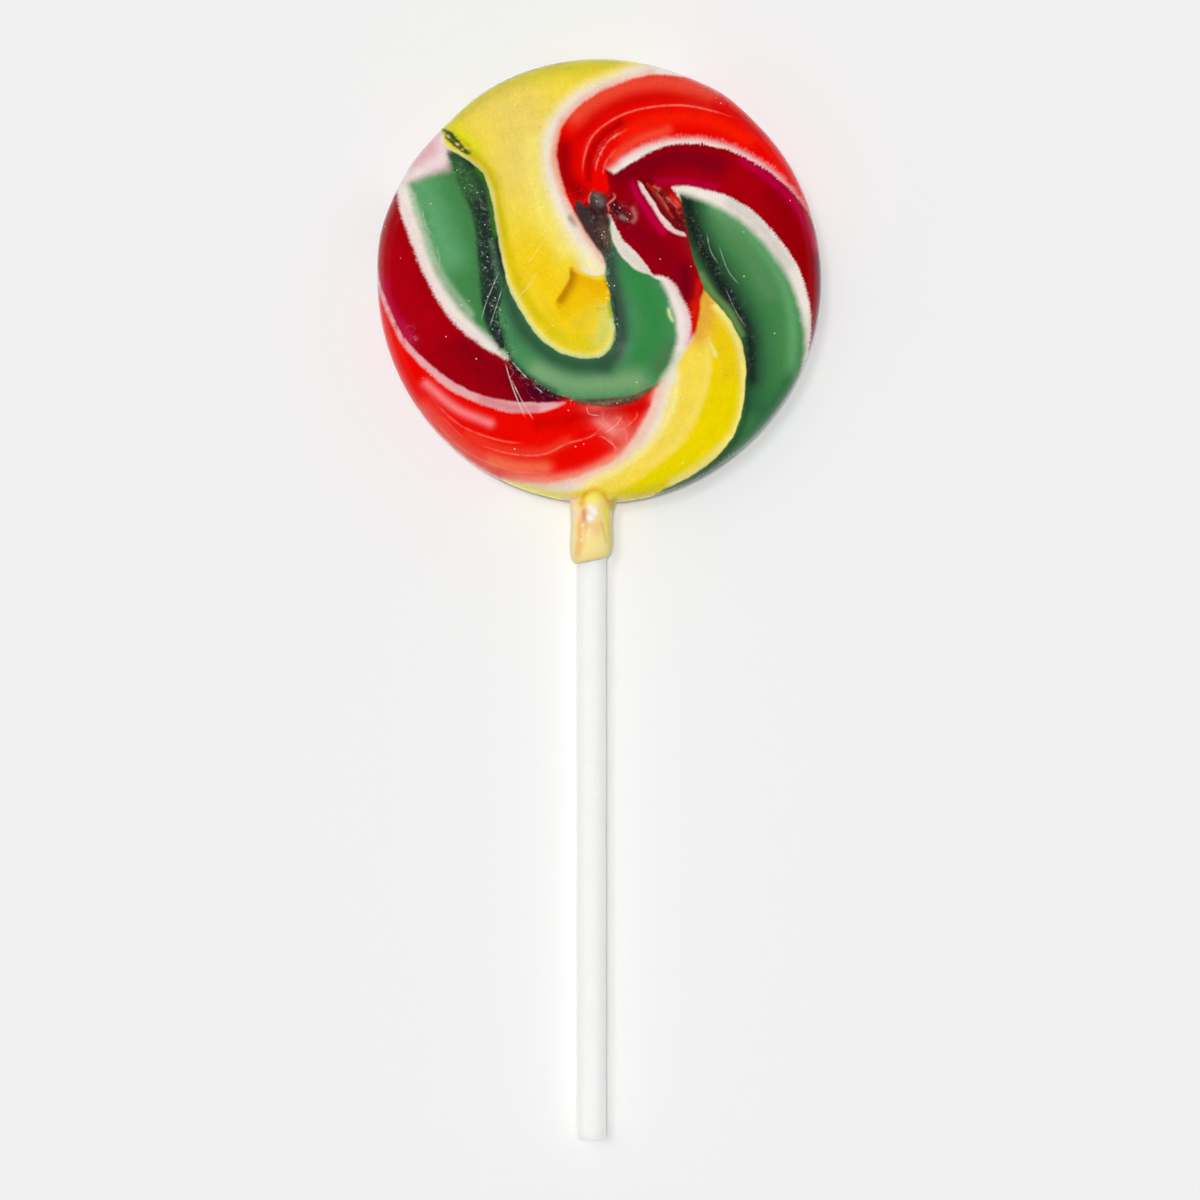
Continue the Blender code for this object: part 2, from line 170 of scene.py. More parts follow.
LOW_YELLOW_LEFT = [
    (-15, -31), (-8.5, -31.3), (-2.8, -30.4), (4.3, -26.8), (8.8, -22.3), (10.7, -17.2), (11.4, -11.9),
]
LOW_YELLOW_TIP = [
    (11.4, -11.9), (12.5, -10.3), (13.7, -8.5), (14.3, -6.7), (14.6, -4.9), (14.8, -3.1), (15.3, -1),
]
LOW_WHITE_LEFT = [
    (-17.4, -28.5), (-12, -29.3), (-6.6, -29.4), (-1.3, -27.9), (3.4, -25.1), (6.9, -19.9), (8.35, -15.8),
    (9.4, -13.8),
]
LOW_BRIGHT_LEFT = [
    (15.6, -3.4), (16.2, -8.4), (16.5, -12.6), (15.4, -17.5), (12.8, -23.1), (8.5, -27.1), (2.9, -31),
]
LEFT_STRIPE_UPPER = [
    (-33, 3), (-31.9, -1.2), (-29, -7.7), (-25, -12), (-20, -15.6), (-14.2, -17.4), (-8.5, -17.8),
    (-4.8, -17.6),
]
LEFT_STRIPE_LOWER = [
    (-32.9, 0), (-31.6, -3.6), (-28.8, -9.3), (-25, -13.3), (-20.7, -16.5), (-15, -18.7), (-10.6, -19.3),
    (-7.1, -18.8), (-4.8, -17.7),
]
GREEN_STRIPE_LEFT = [
    (-30, 14.6), (-29.2, 10.4), (-27.6, 5.8), (-25.4, 0.4), (-22.1, -5.2), (-17.8, -9.1), (-13.4, -11.6),
]
GREEN_STRIPE_RIGHT = [
    (-28.2, 14.6), (-27, 10.4), (-24.6, 3), (-22.6, -1), (-19.4, -5.2), (-16.2, -8.2), (-13.4, -11),
]
PATCH_LOWER = [(-30.2, 14.4), (-27.3, 14.8), (-25.2, 15.6), (-22.0, 16.4)]
VALLEY_LEFT = [
    (-22.4, 18.95), (-21.8, 17.6), (-21.2, 15.8), (-20.4, 13.6), (-19.2, 11.2), (-18.4, 8.6), (-17.9, 4.6),
    (-17.4, -2), (-16.6, -6.4), (-14.6, -9.8),
]
HOOK_LOWER = [
    (-14.8, -4.2), (-14.4, -7.2), (-13, -11.6), (-9.4, -14.8), (-4.9, -17), (-0.1, -17.3), (5.4, -16.7),
    (9, -14.9),
]
CAP_OUTER = [
    (10.2, -13.8), (11.7, -11.6), (12.3, -10.2), (13, -8.7), (13.45, -7.2), (13.4, -5.7), (13, -4.2),
    (12.3, -2.7), (11.5, -1), (10.4, 0.2), (9, 0.75), (7.8, 0.85),
]
CAP_INNER = [(8.4, -15.2), (10.4, -12.0), (11.3, -9.0), (11.2, -6.2), (10.2, -2.4), (8.9, 0.0)]
STRAND_STRIPE_RIGHT = [(1.6, 9.9), (2.5, 7.8), (3.7, 5.9), (5.2, 4.4), (6.6, 2.75), (7.8, 0.9)]
STRAND_STRIPE_LEFT = [(1.5, 9.7), (1.6, 7.8), (1.95, 5.9), (2.8, 4.4), (4, 2.8), (5.6, 1.6), (7.6, 0.75)]
RED_TAIL = [(0.7, 16.6), (1.2, 15.2), (1.4, 13.5), (0.6, 12.6), (-1.4, 11.9), (-2.8, 11.2), (-4.6, 10.6)]
SLIVER_LEFT = [
    (5.7, 14.6), (6, 13.5), (6.95, 12.1), (7.95, 10.5), (8.9, 9), (9.8, 7.9), (10.7, 7.2), (11.9, 6.75),
    (12.8, 6.6),
]
SLIVER_RIGHT = [
    (5.6, 14.8), (6.25, 14.3), (6.9, 13.2), (8.05, 11.6), (9, 10), (9.95, 9), (10.9, 7.85), (12.3, 7.3),
    (12.8, 6.9),
]
WEDGE = [
    (-3.7, 11.9), (-2.8, 11.7), (-2, 10.9), (-1.5, 11.3), (-1.5, 12.4), (-1.1, 13.2), (0, 13.1),
    (0.9, 12.6), (1.1, 11.3), (1, 10.2), (1.5, 9), (1.4, 7.5), (1.7, 6.4), (1.6, 4.6), (1, 2.2),
    (-0.3, 4.7), (-2, 7.4), (-3.2, 9.6),
]
UNDER_HOOK = [
    (-5.6, -16.9), (-0.1, -17), (5.2, -16.5), (8.4, -15), (5.6, -17.4), (2.2, -18.3), (-2.4, -18.1),
]
RIM_CHIP = [
    (-23.9, 23.2), (-22.3, 22.4), (-21.5, 21.8), (-20.65, 20.75), (-19.8, 19.7), (-18.9, 18.9),
    (-19.2, 18.55), (-20, 18.9), (-20.95, 19.65), (-21.9, 20.4), (-22.5, 20.8), (-22.7, 21.9),
]


def smooth_line(points, samples=LINE_SAMPLES):
    """A smooth curve through the points (Catmull-Rom), as an array of closely spaced places."""
    knots = np.array(points, float)
    ends = np.vstack([2 * knots[0] - knots[1], knots, 2 * knots[-1] - knots[-2]])
    steps = np.linspace(0.0, 1.0, samples, endpoint=False)[:, None]
    pieces = []
    for before, start, end, after in zip(ends, ends[1:], ends[2:], ends[3:]):
        cubic = 3 * start - before - 3 * end + after
        square = 2 * before - 5 * start + 4 * end - after
        pieces.append(start + 0.5 * steps * (end - before + steps * (square + steps * cubic)))
    return np.vstack(pieces + [knots[-1:]])


def to_face(points):
    """Move points from where they show at half height to where they lie on the top face."""
    centre = np.array([CAMERA_X, CAMERA_Y])
    return centre + (np.array(points, float) - centre) * FACE_SCALE


def face_line(points):
    """A smooth line on the top face."""
    return smooth_line(to_face(points))


def nearest_on(line, places):
    """For each place: its distance to the line, +1 left or -1 right of it, and how far along (0 to 1)."""
    start, along = line[:-1], np.diff(line, axis=0)
    length_squared = np.maximum((along**2).sum(1), TINY)
    results = []
    for first in range(0, len(places), CHUNK):
        some = places[first:first + CHUNK]
        off_x = some[:, 0, None] - start[None, :, 0]
        off_y = some[:, 1, None] - start[None, :, 1]
        share = np.clip((off_x * along[:, 0] + off_y * along[:, 1]) / length_squared, 0.0, 1.0)
        distance = np.hypot(off_x - share * along[:, 0], off_y - share * along[:, 1])
        best = distance.argmin(1)
        row = np.arange(len(some))
        cross = along[best, 0] * off_y[row, best] - along[best, 1] * off_x[row, best]
        fraction = (best + share[row, best]) / len(along)
        results.append((distance[row, best], np.where(cross >= 0, 1.0, -1.0), fraction))
    return [np.concatenate(column) for column in zip(*results)]


def inside(outline, places):
    """Whether each place is inside a closed outline."""
    x, y = places[:, 0], places[:, 1]
    hits = np.zeros(len(places), int)
    for (ax, ay), (bx, by) in zip(outline, np.roll(outline, -1, axis=0)):
        spans = (ay > y) != (by > y)
        rise = by - ay if by != ay else 1.0
        hits += spans & (x < ax + (bx - ax) * (y - ay) / rise)
    return hits % 2 == 1


def smooth_step(low, high, value):
    """0 below low, 1 above high and a smooth rise between."""
    share = np.clip((value - low) / (high - low), 0.0, 1.0)
    return share * share * (3 - 2 * share)


def faded_ends(fraction, start_fade, end_fade):
    """1 along the middle of a line, fading to 0 at its ends."""
    return smooth_step(0.0, start_fade, fraction) * smooth_step(0.0, end_fade, 1 - fraction)


# How far a lip's drop reaches, as a share of its rise's reach, and how steep a bubble's pit is
DROP_REACH = 0.5
BOWL_SHARPNESS = 1.6


def ridge(places, points, height, half_width, start_fade=0.2, end_fade=0.2):
    """A rounded ridge (or a groove, if the height is negative) along a line."""
    distance, _, fraction = nearest_on(face_line(points), places)
    return height * faded_ends(fraction, start_fade, end_fade) * np.exp(-((distance / half_width) ** 2))


def lip(places, points, rise, drop, shoulder, reach, start_fade=0.12, end_fade=0.12):
    """A step along a line: a rounded lip on its left, and a drop on its right that comes back up."""
    distance, side, fraction = nearest_on(face_line(points), places)
    raised = rise * np.exp(-((distance / reach) ** 2))
    lowered = -drop * np.exp(-((distance / (reach * DROP_REACH)) ** 2))
    left_share = smooth_step(-shoulder, shoulder, side * distance)
    return faded_ends(fraction, start_fade, end_fade) * (lowered + (raised - lowered) * left_share)


def bowl(places, x, y, radius, depth):
    """A round pit left by a bubble."""
    centre_x, centre_y = to_face([(x, y)])[0]
    reach = np.hypot(places[:, 0] - centre_x, places[:, 1] - centre_y) / radius
    return -depth * np.exp(-(reach**2) * BOWL_SHARPNESS)


# Lines of the relief, and bubbles: place, radius and depth (less than 0 for a blister)
HOOK_RIDGE = [(2.8, 5), (5.4, 0.4), (8, -5.1), (5.6, -11.4), (-1.2, -13.7), (-8, -11.5), (-12.4, -5.9)]
VALLEY_LEFT_BED = [(-21.6, 18.6), (-18.6, 14.0), (-16.9, 7.4), (-16.2, 0.9), (-15.4, -4.6), (-13.6, -9.6)]
VALLEY_RIGHT_BED = [
    (12.9, 12), (14.2, 6.4), (17.2, 0.8), (20.6, -5), (22.3, -11.6), (21.8, -18.1), (17.6, -26),
]
FLAP_EDGE = [(-7.2, -4.2), (-5.4, -1.1), (-4.5, 0.6), (-4.2, 1.8), (-3.0, 1.7), (-1.5, 0.95), (0.8, 0.85)]
CHIP_LINE = [(-23.6, 23.2), (-20.8, 20.6), (-18.4, 18.8)]
POCKET = [(7.6, 13.6), (10.6, 11.0), (12.2, 8.0)]
WEDGE_LINE = [(-0.8, 11.4), (-0.2, 8.0), (0.6, 5.0)]
BUBBLES = [
    (-0.6, 11.9, 1.1, 0.8), (3.3, 10.4, 1.4, 0.9), (-4, 9.3, 0.8, 0.4), (10.7, -4.8, 0.8, -0.35),
    (14, -4.9, 0.7, -0.4), (1, 12.9, 0.5, 0.35), (-2.4, 12.2, 0.6, 0.35), (4.9, 11.4, 0.4, 0.3),
    (1.9, 8.9, 0.4, 0.25),
]
LONG_FOLD = [
    (-2.5, 14.9), (-2.3, 17.8), (-1.3, 20.8), (0.6, 22.8), (3.6, 24.5), (7.3, 25.5), (12.1, 25.8),
    (16.6, 25), (20.4, 23.8),
]
SHORT_FOLD = [(-0.6, 16.0), (-0.2, 17.9), (1.3, 20.5), (4.3, 22.5)]
LOW_FOLD = [(-19.2, -23.4), (-13.4, -25.2), (-8.4, -25.4), (-4.8, -23.8), (-1.2, -22.7)]

# Folds in the red: line, height and half width
RED_FOLDS = [
    (LONG_FOLD, 0.13, 0.5), (SHORT_FOLD, 0.13, 0.45), (LOW_FOLD, 0.1, 0.6),
    ([(5.1, 28.6), (11, 28.4), (17, 26)], 0.08, 0.9),
    ([(-3.9, 13.4), (-4.4, 17.4), (-3.4, 21.6), (0.2, 25.4)], 0.07, 0.8),
]


def face_relief(places):
    """Height (mm) of the pressed swirl's forms above the plain domed face."""
    height = ridge(places, HOOK_RIDGE, height=0.5, half_width=2.6)
    height += ridge(places, VALLEY_LEFT_BED, height=-1.3, half_width=1.7, start_fade=0.15, end_fade=0.25)
    height += ridge(places, VALLEY_RIGHT_BED, height=-1.0, half_width=1.9, start_fade=0.15, end_fade=0.45)
    height += lip(places, TONGUE_EDGE, rise=0.4, drop=0.5, shoulder=0.6, reach=3.4)
    height += lip(places, HOOK_LOWER, rise=0.15, drop=0.6, shoulder=0.5, reach=3.0)
    height += lip(
        places, FLAP_EDGE, rise=0.0, drop=0.35, shoulder=0.5, reach=2.4, start_fade=0.3, end_fade=0.2,
    )
    height += ridge(places, CHIP_LINE, height=-0.9, half_width=0.7, start_fade=0.05, end_fade=0.3)
    height += ridge(places, POCKET, height=-0.7, half_width=1.2)
    height += ridge(places, WEDGE_LINE, height=-0.7, half_width=1.5, start_fade=0.1, end_fade=0.3)
    for x, y, radius, depth in BUBBLES:
        height += bowl(places, x, y, radius, depth)
    for points, rise, half_width in RED_FOLDS:
        height += ridge(places, points, rise, half_width)
    return height


def rim_swell(angle):
    """How far (mm) the rim stands out from a true circle at an angle in degrees."""
    swell = np.zeros(len(angle))
    for centre, spread, amount in RIM_SWELLS:
        apart = (angle - centre + 180.0) % 360.0 - 180.0
        swell += amount * np.exp(-((apart / spread) ** 2))
    return swell


def disc_rings():
    """Vertex count, radius and height (mm) of each ring, from the top's centre to the underside's centre."""
    flat = HEAD_RADIUS - EDGE_REACH
    edge_count = RING_STEP_COUNT * FACE_RINGS
    rings = [(1, 0.0, HEAD_THICKNESS)]
    for ring in range(1, FACE_RINGS):
        rings.append((RING_STEP_COUNT * ring, flat * ring / FACE_RINGS, HEAD_THICKNESS))
    for step in range(2 * EDGE_STEPS + 1):
        turn = math.pi / 2 - math.pi * step / (2 * EDGE_STEPS)
        out = abs(math.cos(turn)) ** (2 / EDGE_POWER)
        up = math.copysign(abs(math.sin(turn)) ** (2 / EDGE_POWER), turn)
        rings.append((edge_count, flat + EDGE_REACH * out, HALF_THICKNESS * (1 + up)))
    for ring in range(UNDERSIDE_RINGS - 1, 0, -1):
        rings.append((RING_STEP_COUNT * ring, flat * ring / UNDERSIDE_RINGS, 0.0))
    rings.append((1, 0.0, 0.0))
    return rings


# Just under 1, so that of two steps that end together the one along ring a comes first
A_STEPS_FIRST = 0.999


def stitch(first_a, count_a, first_b, count_b):
    """Triangles between two rings of vertices, seen from outside with ring a nearer the top's centre."""
    if count_a == 1:
        turn = np.arange(count_b)
        return np.column_stack([np.full(count_b, first_a), first_b + turn, first_b + (turn + 1) % count_b])
    if count_b == 1:
        turn = np.arange(count_a)
        return np.column_stack([first_a + turn, np.full(count_a, first_b), first_a + (turn + 1) % count_a])
    steps_a = (np.arange(count_a) + A_STEPS_FIRST) / count_a
    steps_b = (np.arange(count_b) + 1.0) / count_b
    steps = np.concatenate([steps_a, steps_b])
    is_a = np.concatenate([np.ones(count_a, bool), np.zeros(count_b, bool)])[np.argsort(steps, kind="stable")]
    at_a = np.cumsum(is_a) - is_a
    at_b = np.cumsum(~is_a) - ~is_a
    here_a, next_a = first_a + at_a % count_a, first_a + (at_a + 1) % count_a
    here_b, next_b = first_b + at_b % count_b, first_b + (at_b + 1) % count_b
    return np.column_stack([here_a, here_b, np.where(is_a, next_a, next_b)])


def add_to_scene(name, data):
    """A new object with the mesh, lamp or camera given."""
    thing = bpy.data.objects.new(name, data)
    bpy.context.scene.collection.objects.link(thing)
    return thing


def new_object(name, vertices, faces):
    """An object from vertices in millimetres and faces."""
    mesh = bpy.data.meshes.new(name)
    mesh.from_pydata((np.asarray(vertices) * MM).tolist(), [], np.asarray(faces).tolist())
    mesh.validate()
    return add_to_scene(name, mesh)


def build_disc():
    """The pressed disc with its relief, in millimetres."""
    rings = disc_rings()
    firsts = np.cumsum([0] + [count for count, _, _ in rings])
    angle = np.concatenate([np.arange(count) * 2 * math.pi / count for count, _, _ in rings])
    radius = np.concatenate([np.full(count, radius) for count, radius, _ in rings])
    height = np.concatenate([np.full(count, height) for count, _, height in rings])
    faces = [
        stitch(firsts[i], rings[i][0], firsts[i + 1], rings[i + 1][0]) for i in range(len(rings) - 1)
    ]
    swell = rim_swell(np.degrees(angle)) / HEAD_RADIUS * smooth_step(SWELL_START, HEAD_RADIUS, radius)
    radius = radius * (1 + swell)
    flat = np.column_stack([radius * np.cos(angle), radius * np.sin(angle)])
    top_share = smooth_step(*RELIEF_FADE, (height - HALF_THICKNESS) / HALF_THICKNESS)
    dome = DOME_RISE * (1 - (radius / HEAD_RADIUS) ** 2)
    relief = np.zeros(len(height))
    upper = top_share > 0
    relief[upper] = face_relief(flat[upper])
    height = height + top_share * (relief + dome)
    return new_object("disc_form", np.column_stack([flat, height]), np.vstack(faces))


def collar_rings():
    """Radius and place down the stick (mm) of the collar's rings, from inside the disc to its lip."""
    line = smooth_line(COLLAR_OUTLINE, COLLAR_SAMPLES)
    return [(COLLAR_RADIUS * width, COLLAR_START + down) for width, down in line]


def collar_strand(angle, down, strand):
    """How far (mm) one strand of the run stands out: angle from straight up, place down the stick."""
    centre, spread, height, start, end = strand
    across = np.exp(-(((angle - centre) / spread) ** 2))
    before, after = STRAND_START_FADE
    begun = smooth_step(start - before, start + after, down)
    return height * across * (begun * smooth_step(end + STRAND_END_FADE, end - STRAND_END_FADE, down))


def build_collar():
    """The sugar that ran down the stick: merged strands with a slanting lower lip, in millimetres."""
    rings = collar_rings()
    turn = np.arange(COLLAR_SIDES) * 2 * math.pi / COLLAR_SIDES
    radius = np.repeat([radius for radius, _ in rings], COLLAR_SIDES)
    down = np.repeat([down for _, down in rings], COLLAR_SIDES)
    around = np.tile(turn, len(rings))
    across, up = radius * np.sin(around), radius * np.cos(around)
    angle = np.degrees(np.arctan2(across, up))
    swell = sum(collar_strand(angle, down, strand) for strand in COLLAR_STRANDS)
    across, up = across * (1 + swell / COLLAR_RADIUS), up * (1 + swell / COLLAR_RADIUS)
    slant_start, slant_full = COLLAR_SLANT_FADE
    lip_share = smooth_step(COLLAR_END - slant_start, COLLAR_END - slant_full, down)
    along = -down + COLLAR_SLANT * across * lip_share
    places = np.column_stack([STICK_X + across, along, AXIS_HEIGHT + up])
    first_cap, last_cap = len(places), len(places) + 1
    last_middle = along.min() + COLLAR_CAP_INSET
    places = np.vstack([places, [STICK_X, -COLLAR_START, AXIS_HEIGHT], [STICK_X, last_middle, AXIS_HEIGHT]])
    faces = [
        stitch(row * COLLAR_SIDES, COLLAR_SIDES, (row + 1) * COLLAR_SIDES, COLLAR_SIDES)
        for row in range(len(rings) - 1)
    ]
    faces.append(stitch(first_cap, 1, 0, COLLAR_SIDES))
    faces.append(stitch((len(rings) - 1) * COLLAR_SIDES, COLLAR_SIDES, last_cap, 1))
    return new_object("collar_form", places, np.vstack(faces))


def face_outward(thing):
    """Make a closed mesh's faces point outward."""
    form = bmesh.new()
    form.from_mesh(thing.data)
    bmesh.ops.recalc_face_normals(form, faces=form.faces)
    form.to_mesh(thing.data)
    form.free()


def build_socket():
    """The bar that cuts the stick's place out of the candy."""
    form = bmesh.new()
    bmesh.ops.create_cone(
        form, cap_ends=True, segments=SOCKET_SIDES, radius1=STICK_RADIUS * MM, radius2=STICK_RADIUS * MM,
        depth=(STICK_FRONT + COLLAR_END + SOCKET_BEYOND) * MM,
    )
    mesh = bpy.data.meshes.new("socket_form")
    form.to_mesh(mesh)
    form.free()
    middle = Vector((STICK_X, (STICK_FRONT - COLLAR_END - SOCKET_BEYOND) / 2, AXIS_HEIGHT)) * MM
    mesh.transform(Matrix.Translation(middle) @ Matrix.Rotation(math.radians(90.0), 4, "X"))
    return add_to_scene("socket_form", mesh)


def combine(thing, other, operation):
    """Join another object to this one, or cut it out, and remove the other."""
    modifier = thing.modifiers.new(operation.lower(), "BOOLEAN")
    modifier.solver = "MANIFOLD"
    modifier.operation = operation
    modifier.object = other
    bpy.context.view_layer.update()
    evaluated = thing.evaluated_get(bpy.context.evaluated_depsgraph_get())
    mesh = bpy.data.meshes.new_from_object(evaluated)
    thing.modifiers.clear()
    thing.data = mesh
    bpy.data.objects.remove(other)


# Angle (degrees) past which an edge of the candy, or of the stick, stays sharp
CANDY_SHARP_ANGLE = 60.0
STICK_SHARP_ANGLE = 50.0


def build_candy_form():
    """Disc and collar in one mesh, with the stick's place cut out."""
    candy = build_disc()
    collar = build_collar()
    face_outward(candy)
    face_outward(collar)
    combine(candy, collar, "UNION")
    combine(candy, build_socket(), "DIFFERENCE")
    candy.name = "candy_swirl"
    candy.data.name = "candy_swirl"
    candy.data.shade_smooth()
    candy.data.set_sharp_from_angle(angle=math.radians(CANDY_SHARP_ANGLE))
    return candy


# How the bands are laid over each other, first to last: name, sugar, and the outline as edges. Each edge
# has the width (mm) over which it blends into what lies beneath, and the length (mm) of its hairy fringe
REGIONS = [
    ("right_white", "white", [
        (RIGHT_STRIPE_OUTER, 0.2, 0.22),
        ([(16, 6), (24, -8), (26, -16), (33, -18)], 1, 0),
    ]),
    ("right_green", "green", [
        (RIGHT_STRIPE_INNER, 0.7, 0.1), (STRAND_RIGHT, 0.16, 0.05),
        ([(16.6, -5), (14, -14), (4, -28), (0, -35), (22, -36), (36, -22), (33, -15.5)], 1, 0),
    ]),
    ("low_red", "red", [
        (LOW_YELLOW_LEFT, 0.6, 0),
        ([(8, -11), (0, -14), (-6, -15), (-5.2, -17.2), (-10.4, -18.6), (-17.3, -17.4), (-24.4, -13),
            (-29.5, -7.6), (-33.5, 0.2), (-36, -10), (-22, -34), (-17, -30)], 0.6, 0),
    ]),
    ("low_white", "white", [
        (LOW_WHITE_LEFT, 0.4, 0.06),
        ([(11, -10.5), (14, -9), (8, -26), (-8, -33.5), (-19, -31)], 1, 0),
    ]),
    ("low_yellow", "yellow", [
        (LOW_YELLOW_LEFT, 0.6, 0.05), (LOW_YELLOW_TIP, 0.3, 0.05), (LOW_YELLOW_RIGHT, 0.14, 0.03),
        ([(-3, -36), (-17, -34)], 1, 0),
    ]),
    ("low_bright", "bright", [(LOW_BRIGHT_LEFT, 0.5, 0), (LOW_YELLOW_RIGHT[1:][::-1], 0.14, 0.03)]),
    ("left_stripe", "white", [(LEFT_STRIPE_UPPER, 0.2, 0.08), (LEFT_STRIPE_LOWER[::-1], 0.3, 0.12)]),
    ("green_stripe", "white", [
        (GREEN_STRIPE_LEFT, 0.3, 0.26),
        ([(-13, -10.5), (-18, -2), (-24, 10), (-25, 17), (-30, 19)], 1, 0),
    ]),
    ("left_green", "green", [
        (GREEN_STRIPE_RIGHT, 0.8, 0.15),
        ([(-12, -10.5), (-8, -4), (-10, 8), (-16, 22), (-24, 20)], 1, 0),
    ]),
    ("patch", "patch", [
        (PATCH_LOWER, 0.9, 0.1),
        ([(-21.9, 19), (-20.5, 20.5), (-24, 25), (-33, 18)], 0.3, 0),
    ]),
    ("valley", "valley", [
        (VALLEY_LEFT, 0.35, 0.15),
        ([(-13.2, -9.8), (-10.5, -2), (-12, 8), (-13, 16), (-18, 20)], 1, 0),
    ]),
    ("top_stripe", "white", [
        (TOP_STRIPE_LOWER, 0.2, 0.22),
        ([(0.9, 17.6), (8, 22.6), (20, 21.6), (30, 14.5), (35, 9)], 1, 0),
    ]),
    ("top_red", "red", [
        (TOP_STRIPE_UPPER, 0.5, 0.3), (RED_TAIL, 0.3, 0.1),
        ([(-6.2, 11.5), (-8, 17), (-6.5, 24.5), (-1.5, 29.5), (8, 32), (15, 33), (28, 28),
            (37, 10)], 1, 0),
    ]),
    ("under_hook", "brown", [(UNDER_HOOK, 0.3, 0.1)]),
    ("sliver", "white", [(SLIVER_LEFT, 0.2, 0.08), (SLIVER_RIGHT[::-1], 0.14, 0.05)]),
    ("hook_white", "white", [
        (STRAND_STRIPE_RIGHT, 0.16, 0.12), (CAP_OUTER[::-1], 0.3, 0.2),
        ([(8.6, -14.9), (4, -12), (5, -4), (2.6, 1), (1, 6)], 1, 0),
    ]),
    ("hook_green", "hook", [
        (STRAND_STRIPE_LEFT, 0.2, 0.04), (CAP_INNER[::-1], 0.6, 0.1), (HOOK_LOWER[:-1][::-1], 0.12, 0.03),
        ([(-13.9, -0.5), (-11, 0), (-6, -6), (-1, -7), (-0.5, -2), (0.2, 3), (1, 7)], 0.3, 0),
    ]),
    ("wedge", "brown", [(WEDGE, 0.25, 0.1)]),
    ("pale_band", "white", [
        (PALE_RIGHT, 0.3, 0.07),
        ([(12, 34), (0, 34), (-7, 29), (-12, 22), (-12, 14), (-7, 2), (-3.4, 0.2), (-0.6, 0.2)], 0.6, 0),
    ]),
    ("tongue", "yellow", [
        (FLAP_TOP[:3], 0.18, 0.05), (PALE_LEFT, 1.3, 0.05),
        ([(0, 36), (-14, 33), (-24.5, 24.6)], 1, 0),
        (TONGUE_EDGE, 0.14, 0.03),
    ]),
    ("flap", "flap", [
        (FLAP_TOP, 0.16, 0.05), (FLAP_SIDE, 0.2, 0.05),
        ([(-5.6, -5.4), (-2.4, -4.9), (0.1, -3.6)], 2.2, 0),
        ([(0.8, -3.4), (1.5, -2.6), (1.3, -1), (0.8, 0.85)], 0.14, 0),
    ]),
    ("chip", "chip", [(RIM_CHIP, 0.2, 0.2)]),
]

# How far (mm) an edge wavers, and the limit of a depth that is given as a share of an edge's width
WOBBLE = 0.12
DEPTH_LIMIT = 9.0

# Washes that more than one sugar has, as the bands meet there
LEMON_RIM = [(-15.0, -29.4), (-9.0, -31.1), (-4.0, -31.9), (2.0, -32.1), (6.0, -31.8)]
AMBER_TIP = [(15.2, -1.0), (15.6, -4.4), (14.6, -7.6)]
COLLAR_MEETING = [
    ((252, 226, 110), 0.9, 0.8, [(-0.7, -31.2), (-0.5, -32.2)]),
    ((238, 184, 24), 0.9, 0.3, [(-2.5, -32.2), (-2.1, -31.1), (-0.8, -30.5), (0.5, -31), (1.2, -32.2)]),
]

